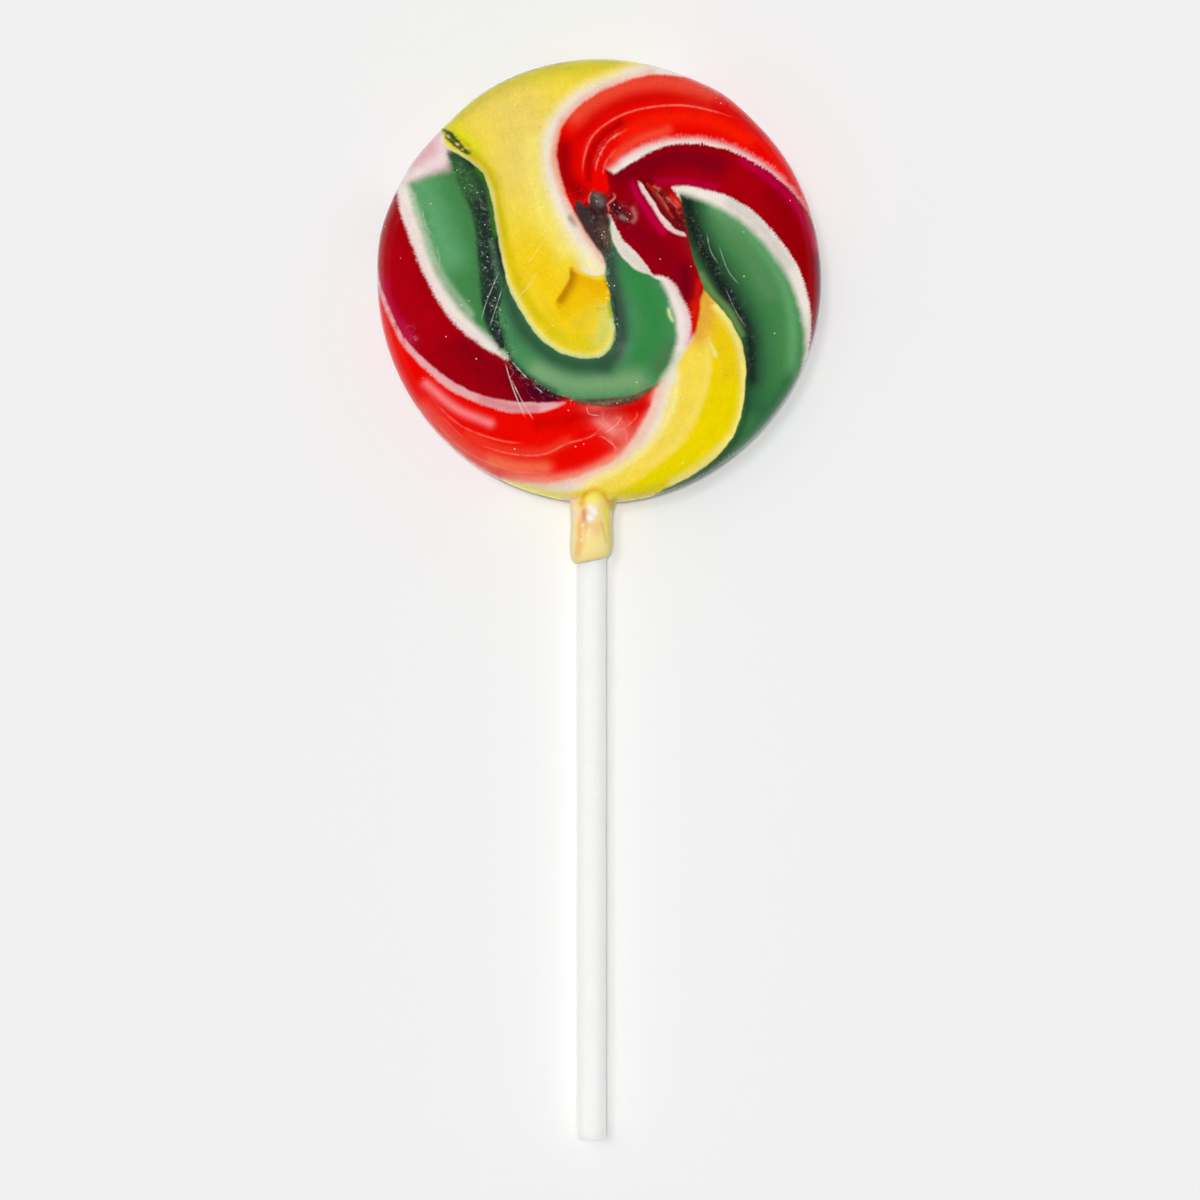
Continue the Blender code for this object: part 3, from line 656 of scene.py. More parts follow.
# Each sugar's colour (sRGB), and washes over it: colour, strength, half width (mm) and a line
SUGARS = {
    "yellow": ((246, 220, 62), [
        ((238, 212, 112), 0.85, 6.5, [(-14.5, 27.5), (-11.5, 23.5), (-10.8, 17)]),
        ((206, 196, 48), 0.85, 1.8, [(-22.6, 22.8), (-17.2, 27.4), (-9, 31), (2, 32.6)]),
        ((226, 222, 20), 0.9, 1.3, [(-21.6, 22.2), (-19.6, 20.6), (-18.2, 19.4)]),
        ((208, 188, 0), 0.88, 0.9, [(-21, 19.7), (-17.4, 17.5), (-15.4, 14.2), (-14.4, 8.8), (-12.8, 2.4),
            (-10, -3.6), (-6.4, -7.6)]),
        ((248, 208, 16), 0.9, 3.8, [(-9.4, 3.4), (-6.4, -2.6), (-3, -7)]),
        ((249, 232, 118), 0.7, 1.3, [(-9.6, 20.6), (-9.9, 15.8), (-8.2, 9.6), (-5.2, 4.6)]),
        ((222, 204, 24), 0.8, 1.4, [(-6.4, -8), (-4, -9.2), (-1.2, -9.4)]),
        ((222, 202, 50), 0.75, 1.3, [(-3, -6), (-1, -4.4), (-0.2, -2.6)]),
        ((216, 214, 110), 0.85, 1.3, [(0.2, -8.4), (1, -6.4), (0.9, -3.8)]),
        ((150, 178, 40), 0.8, 0.35, [(0.7, 0.4), (1.1, -1.4), (1.5, -3.7), (1.9, -5.6)]),
        ((247, 218, 84), 0.9, 2.5, [(13.4, -11.6), (12, -19), (6.6, -26), (-3, -31)]),
        ((250, 236, 0), 0.97, 0.8, LEMON_RIM), *COLLAR_MEETING,
        ((252, 238, 160), 0.75, 0.55, [(-2, -29.8), (3.2, -27.2), (7.2, -24.1), (10.5, -18.9),
            (11.5, -13.6)]),
        ((250, 224, 110), 0.6, 0.6, [(15.9, -9), (15.9, -12.8), (14.7, -17.4), (12, -22.8), (7.8, -26.6)]),
        ((228, 170, 62), 0.95, 1.7, AMBER_TIP),
        ((248, 240, 168), 0.97, 0.3, [(-22.2, 19.55), (-19.8, 18.2), (-17.85, 16.75), (-17, 15.7),
            (-16.4, 14.5), (-15.85, 12.9), (-15.4, 10.2), (-14.8, 6.4), (-14.1, 2.8), (-13.1, -1.2)]),
        ((222, 232, 160), 0.98, 0.55, [(-13.1, -1.3), (-11.9, -3.5), (-10.6, -5.8), (-9, -7.85),
            (-7.1, -9.55), (-4.8, -10.75), (-2.2, -11.2), (-0.35, -11.1), (1.15, -10.25), (2, -8.9),
            (2.3, -7.3), (2, -5.8)]),
    ]),
    "bright": ((238, 214, 2), [
        ((240, 204, 20), 0.8, 2.4, [(16.4, -5), (18, -9), (18.6, -13)]),
        ((228, 170, 62), 0.9, 1.7, AMBER_TIP),
        ((228, 212, 0), 0.8, 1.6, [(14, -26.6), (9, -29.6), (3, -32)]),
        ((249, 234, 140), 0.97, 0.6, [(17, -3.5), (19.1, -6.2), (20.6, -9.5), (21.2, -13.2), (21.2, -16.8),
            (20.6, -20), (19.5, -22.6), (17.4, -24.9), (14.7, -27.3), (10.8, -29.6)]),
        ((206, 186, 0), 0.9, 0.6, [(4.4, -32.7), (8, -31.9), (11.6, -30.7)]),
        ((252, 236, 160), 0.85, 0.3, [(14.7, -5.8), (15.7, -8.2), (17, -10.8)]),
    ]),
    "red": ((236, 6, 0), [
        ((236, 78, 54), 0.9, 1.5, [(-3.6, 24.4), (0.4, 27.2), (5, 29), (10, 29.2), (16, 27.4)]),
        ((206, 0, 2), 0.6, 0.9, [(-3, 21), (0.2, 24.4), (5, 26.7), (12, 27), (19, 25), (24, 21.6)]),
        ((250, 30, 6), 0.8, 1.1, [(3.4, 21.4), (8, 23.6), (15, 23.8), (22, 20.8)]),
        ((246, 84, 56), 0.7, 0.7, [(2.2, 18.2), (5.4, 20.6), (10, 22.2)]),
        ((160, 0, 6), 0.9, 1.5, [(-5.2, 19.6), (-5, 15.4), (-3, 13)]),
        ((176, 0, 4), 0.8, 0.6, [(-1.6, 15), (-1.4, 18), (0.2, 21), (3, 23.2)]),
        ((240, 90, 72), 0.7, 1.2, [(-25.6, -18.6), (-19.8, -24.4), (-12, -28.4)]),
        ((240, 62, 40), 0.7, 0.7, [(-19.4, -22.4), (-14, -24.6), (-8.4, -25), (-4.8, -23.4)]),
        ((246, 134, 134), 0.9, 0.6, [(-25.4, -15), (-21, -18.6), (-16, -20.8)]),
        ((244, 122, 84), 0.75, 1, [(-16, -26.4), (-12, -27.2), (-8, -27.4)]),
        ((246, 150, 126), 0.8, 0.7, [(-14, -29), (-6.6, -29), (-1.2, -27.6), (4, -24.3), (7.3, -19.6),
            (8.4, -15.8)]),
        ((238, 116, 104), 0.75, 1.7, [(-0.4, -18.6), (2, -20.6), (3.8, -23)]),
        # Painted highlight: a broad pinkish gleam on the cracked lumps under the hook
        ((244, 150, 138), 0.7, 0.8, [(0, -20.4), (2, -22)]),
        ((204, 0, 0), 0.7, 1, [(-9, -20.8), (-4, -20), (7, -18.2)]),
    ]),
    "crimson": ((160, 0, 12), [
        ((178, 0, 16), 0.9, 4, [(-31, 4), (-28, -3), (-24, -8)]),
        ((174, 0, 14), 0.9, 2.6, [(12, 17), (20, 14.8), (23.6, 11.6)]),
        ((152, 0, 8), 0.9, 2, [(26, 12.6), (28.6, 8.4), (30.6, 2)]),
        ((140, 0, 22), 0.9, 2.4, [(2.6, 9.6), (6.4, 6.4), (10.4, 2.6), (12.6, -1.6)]),
        ((134, 0, 20), 0.85, 1.6, [(-19.6, -9.8), (-14, -14.6), (-9, -16.6)]),
        ((190, 0, 66), 0.85, 0.6, [(21, 17.8), (25.8, 14.4), (29.8, 9.6), (32, 4.4)]),
        ((188, 0, 60), 0.85, 0.6, [(8.6, 14.6), (12, 14.6), (17, 13.8)]),
        ((196, 0, 66), 0.95, 0.6, [(4.9, 14.4), (5.8, 12.4), (7, 10.4), (8.2, 8.6), (9.4, 7.3)]),
        ((128, 0, 22), 0.9, 1.9, [(3, 15.8), (6.6, 17), (12, 18.2), (17, 17.2)]),
        ((90, 0, 22), 0.8, 1.1, [(-12.8, -14.6), (-11.4, -16.6)]),
        ((72, 0, 28), 0.97, 1.5, [(-11.9, -12.6), (-10.4, -15.6), (-7.2, -16.9)]),
        ((96, 0, 60), 0.8, 0.6, [(32.2, 4), (32.6, -2), (31.8, -9)]),
        ((216, 22, 10), 0.85, 0.6, [(14.7, 0), (14.3, -3), (13.8, -6)]),
        ((112, 0, 22), 0.7, 0.7, [(12.4, 2), (12.8, -2)]),
        ((222, 20, 4), 0.9, 0.8, [(13.9, -3.6), (13.6, -7), (12.6, -9.8)]),
        ((96, 0, 8), 0.95, 1.1, [(6.8, 14), (8.8, 12), (10.6, 9.9), (11.9, 8.2)]),
        ((216, 24, 8), 0.9, 0.7, [(10.8, 12.4), (12, 11.4)]),
        # Painted glints: an orange glint streak and two glints in the glossy pocket (this wash and the next
        # two)
        ((222, 50, 20), 0.7, 0.2, [(7, 14.3), (8.9, 12), (10.8, 9.4)]),
        ((244, 100, 70), 0.7, 0.2, [(11.1, 11.9), (11.7, 11.1)]),
        ((244, 100, 70), 0.7, 0.2, [(8, 13.9), (8.8, 13.5)]),
        ((194, 20, 76), 0.8, 0.9, [(-32.4, 0.6), (-30.6, -4.4), (-27.6, -8.6)]),
        ((150, 0, 14), 0.6, 2, [(-22, -10), (-16, -14), (-12.6, -15.6)]),
        ((64, 0, 18), 0.95, 0.75, [(2.2, 11), (2.9, 10), (3.8, 9.4)]),
        ((182, 130, 134), 0.85, 0.3, [(3.2, 9.6), (3.7, 9.3)]),
        # Painted glint on the pink rim of the bubble's pit
        ((206, 120, 128), 0.6, 0.3, [(4.9, 10.6), (5.3, 9.6), (5, 8.8)]),
    ]),
    "green": ((70, 136, 76), [
        ((104, 172, 116), 0.8, 2.6, [(-25.8, 14.2), (-24, 8.4), (-22, 3.6)]),
        ((176, 206, 172), 0.6, 0.5, [(-27.4, 13), (-25.6, 7.4), (-23, 1), (-18.8, -4.8)]),
        ((108, 172, 116), 0.7, 1, [(16.6, 10.6), (21.4, 7.4), (25.6, 2.2), (27.9, -3.4), (28.4, -9),
            (28.2, -13)]),
        ((38, 106, 60), 0.8, 2.4, [(28.4, -15.6), (23, -23), (13.6, -30.2), (2, -33.4)]),
        ((42, 92, 60), 0.8, 2.2, [(13.4, 11.2), (15.6, 5.4), (18.8, 0.6), (22, -5), (23.2, -12),
            (22.6, -18)]),
        ((98, 146, 96), 0.6, 1.6, [(18, 8.6), (22, 4), (24.8, -1.4)]),
        ((24, 30, 26), 0.97, 1.5, [(12.7, 11.6), (13.7, 8), (15.2, 4.6), (17, 1.2), (18.7, -2)]),
        ((28, 40, 34), 0.97, 1.15, [(18.5, -1.8), (20.6, -4.5), (21.9, -7.5), (22.3, -11.1),
            (22.2, -14.4)]),
        ((112, 150, 84), 0.85, 0.5, [(14.9, 1), (16.6, -1.6), (19, -4.2), (20.9, -7.6)]),
        ((36, 72, 48), 0.8, 0.6, [(21.9, -15), (21.2, -20.4), (18.2, -25.4), (11.8, -30.2), (4, -32.8)]),
    ]),
    "hook": ((76, 144, 92), [
        ((50, 138, 66), 0.85, 2.2, [(4.8, 1.6), (7.2, -2.6), (7.8, -7), (6.2, -11.2)]),
        ((134, 174, 124), 0.8, 1.7, [(-9, -13.2), (-4, -15), (1, -15), (5.4, -14.6)]),
        # Painted shade: dark grey-green in the groove beside the tongue's right edge
        ((60, 80, 70), 0.95, 1.15, [(1.6, 4.4), (2.1, 0), (2.9, -4), (3.3, -7.4), (2.6, -10.4),
            (0.6, -12)]),
        # Painted shade: dark green in the groove beside the tongue's lower edge
        ((48, 88, 62), 0.92, 1.4, [(1, -12.4), (-4, -12.2), (-8.4, -9.9), (-11.8, -6), (-13.6, -1.6)]),
        ((36, 60, 48), 0.6, 0.4, [(-14.4, -6.8), (-13, -11.2), (-9.4, -14.5), (-6.4, -16.1)]),
        # Painted highlight on the blister: a yellow-green glint with a white edge (this wash and the next)
        ((176, 206, 96), 0.9, 0.4, [(10.4, -4.4), (10.8, -5.6)]),
        ((226, 242, 200), 0.9, 0.16, [(10.1, -4), (10.25, -5), (10.75, -5.8)]),
        ((30, 74, 42), 0.8, 0.14, [(10.6, -4.2), (10.95, -5.2), (11.1, -6)]),
        ((82, 110, 70), 0.6, 1, [(10.4, -9.6), (8.6, -13)]),
    ]),
    "white": ((240, 230, 220), [
        ((232, 140, 146), 0.95, 0.75, [(1.2, 17), (3.4, 18.7), (7.8, 20.7), (14.6, 21.3), (21.8, 19),
            (28, 14.2), (32.2, 8.4)]),
        ((230, 164, 168), 0.9, 1.3, [(-33, 1), (-30.3, -6), (-26.3, -11.4), (-20, -16.1), (-12, -18.5),
            (-5, -17.7)]),
        ((214, 130, 136), 0.8, 0.9, [(-17, -17.2), (-13.4, -18.3), (-9.6, -18.8)]),
        ((212, 204, 196), 0.8, 1.2, [(19.6, 11.4), (24.2, 7.4), (27.6, 2.6)]),
        ((122, 110, 90), 0.9, 0.5, [(-4.1, 9.3), (-3.5, 8.6)]),
        ((238, 190, 172), 0.9, 0.7, [(0.8, 2.6), (-2.3, 7.4), (-5.2, 12.6), (-6.6, 18), (-5.2, 23.6),
            (-0.2, 28), (7.6, 30.6)]),
        ((238, 166, 130), 0.8, 0.42, [(-5.2, 13), (-6.5, 17.2), (-6.6, 19.4), (-5.4, 23.6)]),
        ((240, 194, 172), 0.8, 0.9, [(-14, -29.2), (-6.6, -29.6), (-1, -28.1), (4.3, -24.7), (7.6, -19.8),
            (9, -14.8)]),
        ((236, 208, 210), 0.6, 0.7, [(-29.4, 12), (-27.4, 5.8), (-25.2, 0.4), (-22, -5), (-17.8, -8.9)]),
        ((236, 200, 204), 0.75, 0.6, [(10.4, 0), (12.2, -2.6), (13.2, -6.6), (12.9, -9)]),
        ((204, 214, 180), 0.7, 0.6, [(11.6, -10.8), (10.6, -12.6), (9.2, -14.6)]),
        ((226, 214, 203), 0.9, 1, [(1.6, 8.6), (2.7, 6), (4.6, 3.6), (7.2, 1.4)]),
        ((236, 196, 196), 0.9, 0.5, [(5.8, 14.2), (7.6, 11.2), (9.4, 8.6), (12, 7)]),
        ((250, 238, 176), 0.85, 1.2, [(0, 1.4), (-3.7, 4.8), (-7.2, 10.4), (-9.2, 16.6), (-8.8, 22.6),
            (-4.6, 28.2), (2.6, 31.6)]),
        ((232, 96, 90), 0.9, 0.8, [(0.7, 16.8), (2, 17.7)]),
        ((250, 236, 0), 0.97, 0.8, LEMON_RIM[:4]), *COLLAR_MEETING,
        ((248, 226, 126), 0.9, 0.9, [(-1.6, -29.9), (4.5, -26.6), (9, -22.1), (11.1, -15.7)]),
    ]),
    "valley": ((36, 50, 46), [
        ((62, 114, 60), 0.92, 1.7, [(-21.4, 17.2), (-20.2, 15.4), (-19.4, 13.6)]),
        ((40, 80, 52), 0.8, 0.7, [(-19.2, 12), (-18.2, 8.4), (-17.8, 4), (-17.2, -1.6)]),
        ((70, 140, 20), 0.9, 0.45, [(-17.9, 16.6), (-16.6, 14.8), (-16, 12.4), (-15.6, 9.4), (-15.2, 7)]),
        ((76, 122, 88), 0.6, 0.5, [(-15.9, 6), (-15, 1.6), (-13.6, -2.4)]),
        ((44, 96, 58), 0.7, 0.9, [(-13.9, 1), (-14.2, -3), (-14.6, -6)]),
    ]),
    "flap": ((244, 200, 12), [
        ((238, 180, 4), 0.8, 1.8, [(-3, 0.8), (-1.4, 0), (-0.2, -0.6)]),
        # Painted shade: dark orange in the crease under the flap's side
        ((196, 132, 0), 0.95, 0.9, [(-3.9, 1.2), (-4.2, -0.2), (-4.9, -1.4), (-5.7, -2.6)]),
        ((250, 222, 60), 0.8, 0.3, [(-3.6, 1.7), (-2.2, 1.1), (-0.6, 0.55), (0.6, 0.6)]),
    ]),
    "brown": ((74, 50, 46), [
        ((56, 52, 58), 0.8, 0.8, [(-3, 11), (-1.8, 9)]),
        ((110, 78, 60), 0.8, 0.6, [(0.6, 7.6), (1.3, 6)]),
        ((64, 84, 66), 0.85, 0.8, [(1, 4), (1.2, 2)]),
        ((124, 104, 98), 0.9, 0.6, [(-0.4, 12.4), (0.2, 11.6)]),
        ((60, 10, 18), 0.85, 0.5, [(-1.4, 10.6), (-0.2, 10.2), (1, 10.6)]),
        ((122, 40, 28), 0.85, 0.7, [(-5, -17.8), (0, -18.4), (6, -17.2)]),
        ((150, 134, 104), 0.8, 0.4, [(-4, -17.2), (1, -17.6), (6.4, -16.4)]),
    ]),
    "patch": ((228, 176, 184), [
        ((238, 224, 222), 0.85, 1.3, [(-22.8, 20.8), (-22.6, 18.6), (-25, 16.6), (-28.6, 15.4)]),
    ]),
    "chip": ((112, 126, 30), [
        ((38, 58, 28), 0.95, 0.35, [(-23.4, 23), (-22, 21.9), (-20.9, 20.8), (-19.6, 19.3)]),
        ((60, 78, 24), 0.9, 0.3, [(-22.4, 20.9), (-21, 19.9), (-19.4, 18.7)]),
        # Painted glints: yellow-white sparkles on the chip (this wash and the next two)
        ((246, 236, 150), 0.95, 0.16, [(-22.3, 21.5), (-22.15, 21.4)]),
        ((250, 246, 200), 0.95, 0.18, [(-20.9, 20.2), (-20.75, 20.1)]),
        ((246, 236, 150), 0.95, 0.14, [(-20.1, 19.4), (-20, 19.35)]),
    ]),
    "collar": ((255, 228, 152), [
        ((255, 204, 138), 0.85, 1.1, [(-1.8, -35.4), (-0.4, -36.2)]),
        ((255, 206, 150), 0.8, 0.7, [(-3, -31.4), (-2.6, -33.6), (-2.9, -36)]),
        ((242, 184, 108), 0.85, 0.42, [(-2.4, -34.4), (-3, -36.4), (-2.9, -38), (-3.3, -39.8)]),
        ((246, 196, 124), 0.8, 0.6, [(-2.9, -38.2), (-3.2, -40)]),
        ((255, 236, 180), 0.9, 0.4, [(-3.7, -33), (-3.9, -36.4), (-4.1, -40.4)]),
        # Painted highlights: pinkish glints on the collar's left strand (this wash and the next)
        ((255, 214, 200), 0.9, 0.4, [(-4.2, -31.7), (-4, -32.4)]),
        ((255, 218, 206), 0.9, 0.36, [(-3.6, -33.8), (-3.5, -34.4)]),
        ((242, 190, 22), 0.95, 0.35, [(-2.6, -32.6), (-2.1, -31.1), (-0.8, -30.5), (0.5, -31),
            (1.3, -32.4)]),
        ((255, 234, 132), 0.95, 0.9, [(-0.7, -31.8), (-0.4, -32.6)]),
        ((206, 184, 0), 0.9, 0.6, [(2.3, -31.6), (1.8, -33)]),
        ((250, 230, 50), 0.85, 0.36, [(0.9, -33.2), (1.2, -35.2), (1.5, -37)]),
        ((236, 222, 110), 0.8, 0.4, [(1.6, -37), (1.7, -39.4)]),
        ((226, 178, 76), 0.6, 0.13, [(0.3, -35.2), (0.7, -36.8), (1, -38.2)]),
        ((214, 142, 126), 0.85, 0.28, [(-2.35, -33.7), (-2.2, -34.8)]),
        # Painted glints: a pinkish white glow round the main glints, then white glints, to the end of the
        # list
        ((255, 226, 216), 0.9, 0.6, [(-1, -33.3), (-1.4, -34.7)]),
        ((255, 253, 250), 0.98, 0.32, [(-0.8, -33.5), (-0.6, -33.9)]),
        ((255, 253, 250), 0.98, 0.26, [(-1.5, -32.95), (-1.35, -33.1)]),
        ((255, 253, 250), 0.98, 0.34, [(-1.6, -34.6), (-1.2, -34.7)]),
        ((255, 240, 216), 0.95, 0.2, [(-2.5, -35.7), (-2.45, -35.75)]),
        ((255, 240, 216), 0.95, 0.17, [(-1.5, -36.4), (-1.45, -36.4)]),
        ((255, 240, 216), 0.95, 0.18, [(-1.7, -37.1), (-1.65, -37.15)]),
        ((255, 240, 216), 0.95, 0.18, [(-2.6, -37.9), (-2.55, -37.95)]),
    ]),
}

# Thin lines drawn over the sugar, pale, dark or scratched white: strength and a line
# Pale lines: along the folds and round the bubbles they are paler sugar with a painted highlight; the last is
# a painted highlight along the upper left rim
PALE_LINES = [
    (0.6, [(-1.1, 13.2), (-1.5, 12.3), (-1.4, 11.3)]),
    (0.6, [(1.8, 13.2), (2.3, 12.4), (1.8, 11.8), (1.2, 11.3), (1.4, 10.7), (1.3, 10)]),
    (0.45, LONG_FOLD), (0.5, SHORT_FOLD),
    (0.3, [(0.5, 15.6), (0.9, 17.4), (2.6, 19.6)]),
    (0.3, [(-24.6, -17.4), (-20.2, -21.2), (-15, -23.2), (-11, -23.8)]),
    (0.35, LOW_FOLD + [(1.2, -20.4)]),
    (0.3, [(-25, -19.6), (-20, -24.6), (-13.4, -27.6), (-8, -28.2)]),
    (0.4, [(9.6, 12.6), (10.6, 11.7), (11.7, 10.6)]),
    (0.3, [(8.2, 13.4), (9.4, 11.8), (10.3, 10.2)]),
    (0.35, [(2.2, -19.4), (3.6, -21.2), (4.2, -24.2)]),
    (0.3, [(0.2, -18.8), (0.8, -20.6), (2.8, -21.8), (5.2, -20.2), (5.6, -18.8)]),
    (0.3, [(-0.6, -22.6), (1.6, -23.2), (2.6, -25.4)]),
    (0.4, [(-9.6, 29.6), (-15, 27.4), (-20.4, 23.4)]),
]
# The first three dark lines, along the hook's lower edge and the tongue's right edge, are dark seams with
# painted shade where the surface steps down
DARK_LINES = [
    (0.85, [(-13.6, -10.6), (-12.2, -12.6), (-9.2, -15), (-6.6, -16.6), (-4.8, -17.3)]),
    (0.6, [(-4.8, -17.3), (-0.1, -17.5), (4.6, -17), (8, -15.6)]),
    (0.7, [(0.6, 0.9), (1.2, -0.4), (2.3, -3), (2.5, -6.6), (2, -9.4)]),
    (0.5, [(12.1, 12.4), (12.4, 10), (13, 7.4), (13.8, 3.9)]),
    (0.6, [(30.6, -11.5), (28.4, -16.5), (22, -24.2), (14, -29.3), (9.5, -31.2)]),
    (0.5, [(-23.6, 23.5), (-17.8, 27.8), (-10, 31.4), (-2, 32.9)]),
]

# Where the skin is broken and glassy: strength, half width (mm) and a line
GLASSY = [
    (0.6, 1.2, [(-21, 17.2), (-19.6, 14.6), (-18.2, 12)]),
    (1, 1.2, [(-18, 12.4), (-17.1, 9), (-16.5, 4), (-15.9, -1), (-15, -6), (-13.6, -10)]),
    (0.4, 1, [(13.4, 10), (15, 5.4), (17, 2), (19.4, -2), (21.6, -7), (22.4, -13)]),
    (0.8, 0.9, [(-0.8, 12.2), (-0.6, 9.6), (0.4, 6.4), (1.2, 3.6), (1.5, 0.6)]),
    (0.8, 1, [(2.4, 10.8), (4.4, 9.6)]),
    (0.9, 0.35, [(1, 1.6), (1.4, -1), (1.8, -3.6), (2.5, -6.6), (2.4, -8.8)]),
    (0.45, 0.6, [(-22.9, 22.6), (-20.6, 20.5), (-18, 18.6)]),
    (0.9, 0.4, [(-13.6, -10.8), (-12, -13), (-9, -15.2), (-6.4, -16.8), (0, -18), (5, -17.2)]),
    (0.5, 0.9, [(-12.4, -12.6), (-8.6, -16)]),
    (0.25, 1.1, [(0.5, -19.4), (4, -21)]),
    (0.45, 0.8, [(-27.6, -7), (-27, -9.4)]),
    (0.8, 0.45, [(8.5, -31.9), (14, -29.4), (19.5, -25.2)]),
    (0.7, 0.5, [(15.2, 28.5), (18.4, 26.6)]),
    (0.7, 0.5, [(8.6, 13.4), (11.4, 10.8), (12.2, 8.4)]),
    (0.34, 1.5, [(-26.8, 14), (-26, 10), (-24.6, 5)]),
    (0.5, 0.5, [(-0.4, 17.6), (0.8, 20.2), (3, 22)]),
    (0.5, 0.4, [(0.4, -4), (-0.4, -3.8)]),
]

# Scratches: strength and a line
SCRATCHES = [
    (0.75, [(-13.9, -11.6), (-12.7, -15.6), (-10.8, -20.2)]),
    (0.75, [(-12.96, -14.2), (-11.4, -17.4), (-9.6, -20.4)]),
    (0.9, [(-12.9, -11.7), (-11.8, -12.9), (-10.4, -14.4)]),
    (0.9, [(-9.6, -15.2), (-8.8, -15.9), (-8.3, -16.3)]),
    (0.6, [(-14.6, 1.8), (-16.4, -2.4), (-17.4, -5.8)]),
    (0.6, [(-14.2, -0.8), (-15.2, -3.8), (-16.2, -6.8)]),
    (0.45, [(3.3, -19.7), (2.4, -21.1), (0.7, -22.3)]),
    (0.4, [(-1.9, -18.3), (-1.5, -19.4), (0.2, -19.7)]),
    (0.4, [(0.2, -22.6), (1.6, -23.6), (2.8, -24.7)]),
    (0.4, [(15.7, 7.4), (16.3, 4.6), (17.6, 2.4)]),
    (0.35, [(17.4, 5.6), (18.8, 1.8), (20.6, -0.6)]),
    (0.3, [(18.4, -0.6), (20, -4.2), (21.6, -6.8)]),
    (0.35, [(-9, 1.6), (-10.4, -0.8), (-12, -2.4)]),
    (0.3, [(-8, 6.2), (-9.6, 3.8), (-10.6, 2.6)]),
    (0.3, [(-24, 5.6), (-23.4, 3.2), (-23.8, 1.2)]),
    (0.4, [(-26, 11), (-25.6, 8.6), (-24.6, 6.8)]),
]

# Seams that the sugar's grain follows, with the angle (degrees) that stands for each
GRAIN_SEAMS = [
    (PALE_LEFT, 82), (PALE_RIGHT, 72), (TOP_STRIPE_UPPER, 24), (TOP_STRIPE_LOWER, 19),
    (RIGHT_STRIPE_OUTER, -10), (RIGHT_STRIPE_INNER, -16), (LOW_YELLOW_RIGHT, -63), (LOW_YELLOW_LEFT, -108),
    (LOW_WHITE_LEFT, -114), (LEFT_STRIPE_LOWER, -174), (LEFT_STRIPE_UPPER, 181), (GREEN_STRIPE_LEFT, 156),
    (GREEN_STRIPE_RIGHT, 152), (TONGUE_EDGE, 134), (HOOK_LOWER, 214), (CAP_OUTER, 250),
]

# How strongly the nearest seam rules the grain, and how far (mm) from a seam it rules fully
GRAIN_FALL = 2.5
GRAIN_REACH = 0.15

# Share of a thin line over which its ends fade
LINE_FADE = 0.2

# Where the collar's sugar takes over: how far inside the rim (mm), and how far beside the stick (mm)
COLLAR_INSIDE_RIM = (1.1, 0.2)
COLLAR_BESIDE_STICK = (5.2, 4.0)


def linear(colour):
    """Linear RGB from sRGB values of 0 to 255."""
    share = np.array(colour, float) / 255.0
    return np.where(share <= 0.04045, share / 12.92, ((share + 0.055) / 1.055) ** 2.4)


def region_share(edges, places):
    """Each place's depth inside the region, and the nearest edge's fringe and wobble there.

    All three are shares of the width over which that edge blends.
    """
    lines = [face_line(points) for points, _, _ in edges]
    within = np.where(inside(np.vstack(lines), places), 1.0, -1.0)
    distances = []
    for index, line in enumerate(lines):
        following = lines[(index + 1) % len(lines)][:1]
        distances.append(nearest_on(np.vstack([line, following]), places)[0])
    best = np.argmin(distances, axis=0)
    width = np.array([width for _, width, _ in edges])[best]
    fringe = np.array([fringe for _, _, fringe in edges])[best]
    depth = np.clip(within * np.min(distances, axis=0) / width, -DEPTH_LIMIT, DEPTH_LIMIT)
    return np.column_stack([depth, fringe / width, WOBBLE / width])


def seam_place(places):
    """How far along the nearest fringed edge each place lies, and how far from it (mm)."""
    nearest = np.full(len(places), FAR)
    along = np.zeros(len(places))
    for _, _, edges in REGIONS:
        for points, _, fringe in edges:
            if not fringe:
                continue
            line = face_line(points)
            length = np.linalg.norm(np.diff(line, axis=0), axis=1).sum()
            distance, side, fraction = nearest_on(line, places)
            closer = distance < np.abs(nearest)
            nearest = np.where(closer, side * distance, nearest)
            along = np.where(closer, fraction * length, along)
    return along, nearest


def sugar_colour(sugar, places):
    """The linear colour of one sugar at each place, with its washes."""
    base, washes = SUGARS[sugar]
    colour = np.tile(linear(base), (len(places), 1))
    for wash, strength, half_width, points in washes:
        distance = nearest_on(face_line(points), places)[0]
        share = strength * np.exp(-((distance / half_width) ** 2))[:, None]
        colour = colour * (1 - share) + linear(wash) * share
    return colour


def grain_direction(places):
    """A pair of values that stays the same along the sugar's grain and turns from seam to seam."""
    total = np.zeros((len(places), 2))
    for points, angle in GRAIN_SEAMS:
        distance = nearest_on(face_line(points), places)[0]
        weight = 1.0 / (distance + GRAIN_REACH) ** GRAIN_FALL
        turn = math.radians(angle)
        total += weight[:, None] * np.array([math.cos(turn), math.sin(turn)])
    return total / np.linalg.norm(total, axis=1)[:, None]


def line_field(lines, places):
    """For each place: its distance (mm) to the nearest of the lines, and that line's strength there.

    The distance is positive on one side of a line and negative on the other. Every second line has its sides
    swapped, so that the distance doesn't pass through zero between two neighbours that run the same way.
    """
    nearest = np.full(len(places), FAR)
    strength = np.zeros(len(places))
    for index, (amount, points) in enumerate(lines):
        distance, side, fraction = nearest_on(face_line(points), places)
        side = -side if index % 2 else side
        closer = distance < np.abs(nearest)
        nearest = np.where(closer, side * distance, nearest)
        strength = np.where(closer, amount * faded_ends(fraction, LINE_FADE, LINE_FADE), strength)
    return nearest, strength


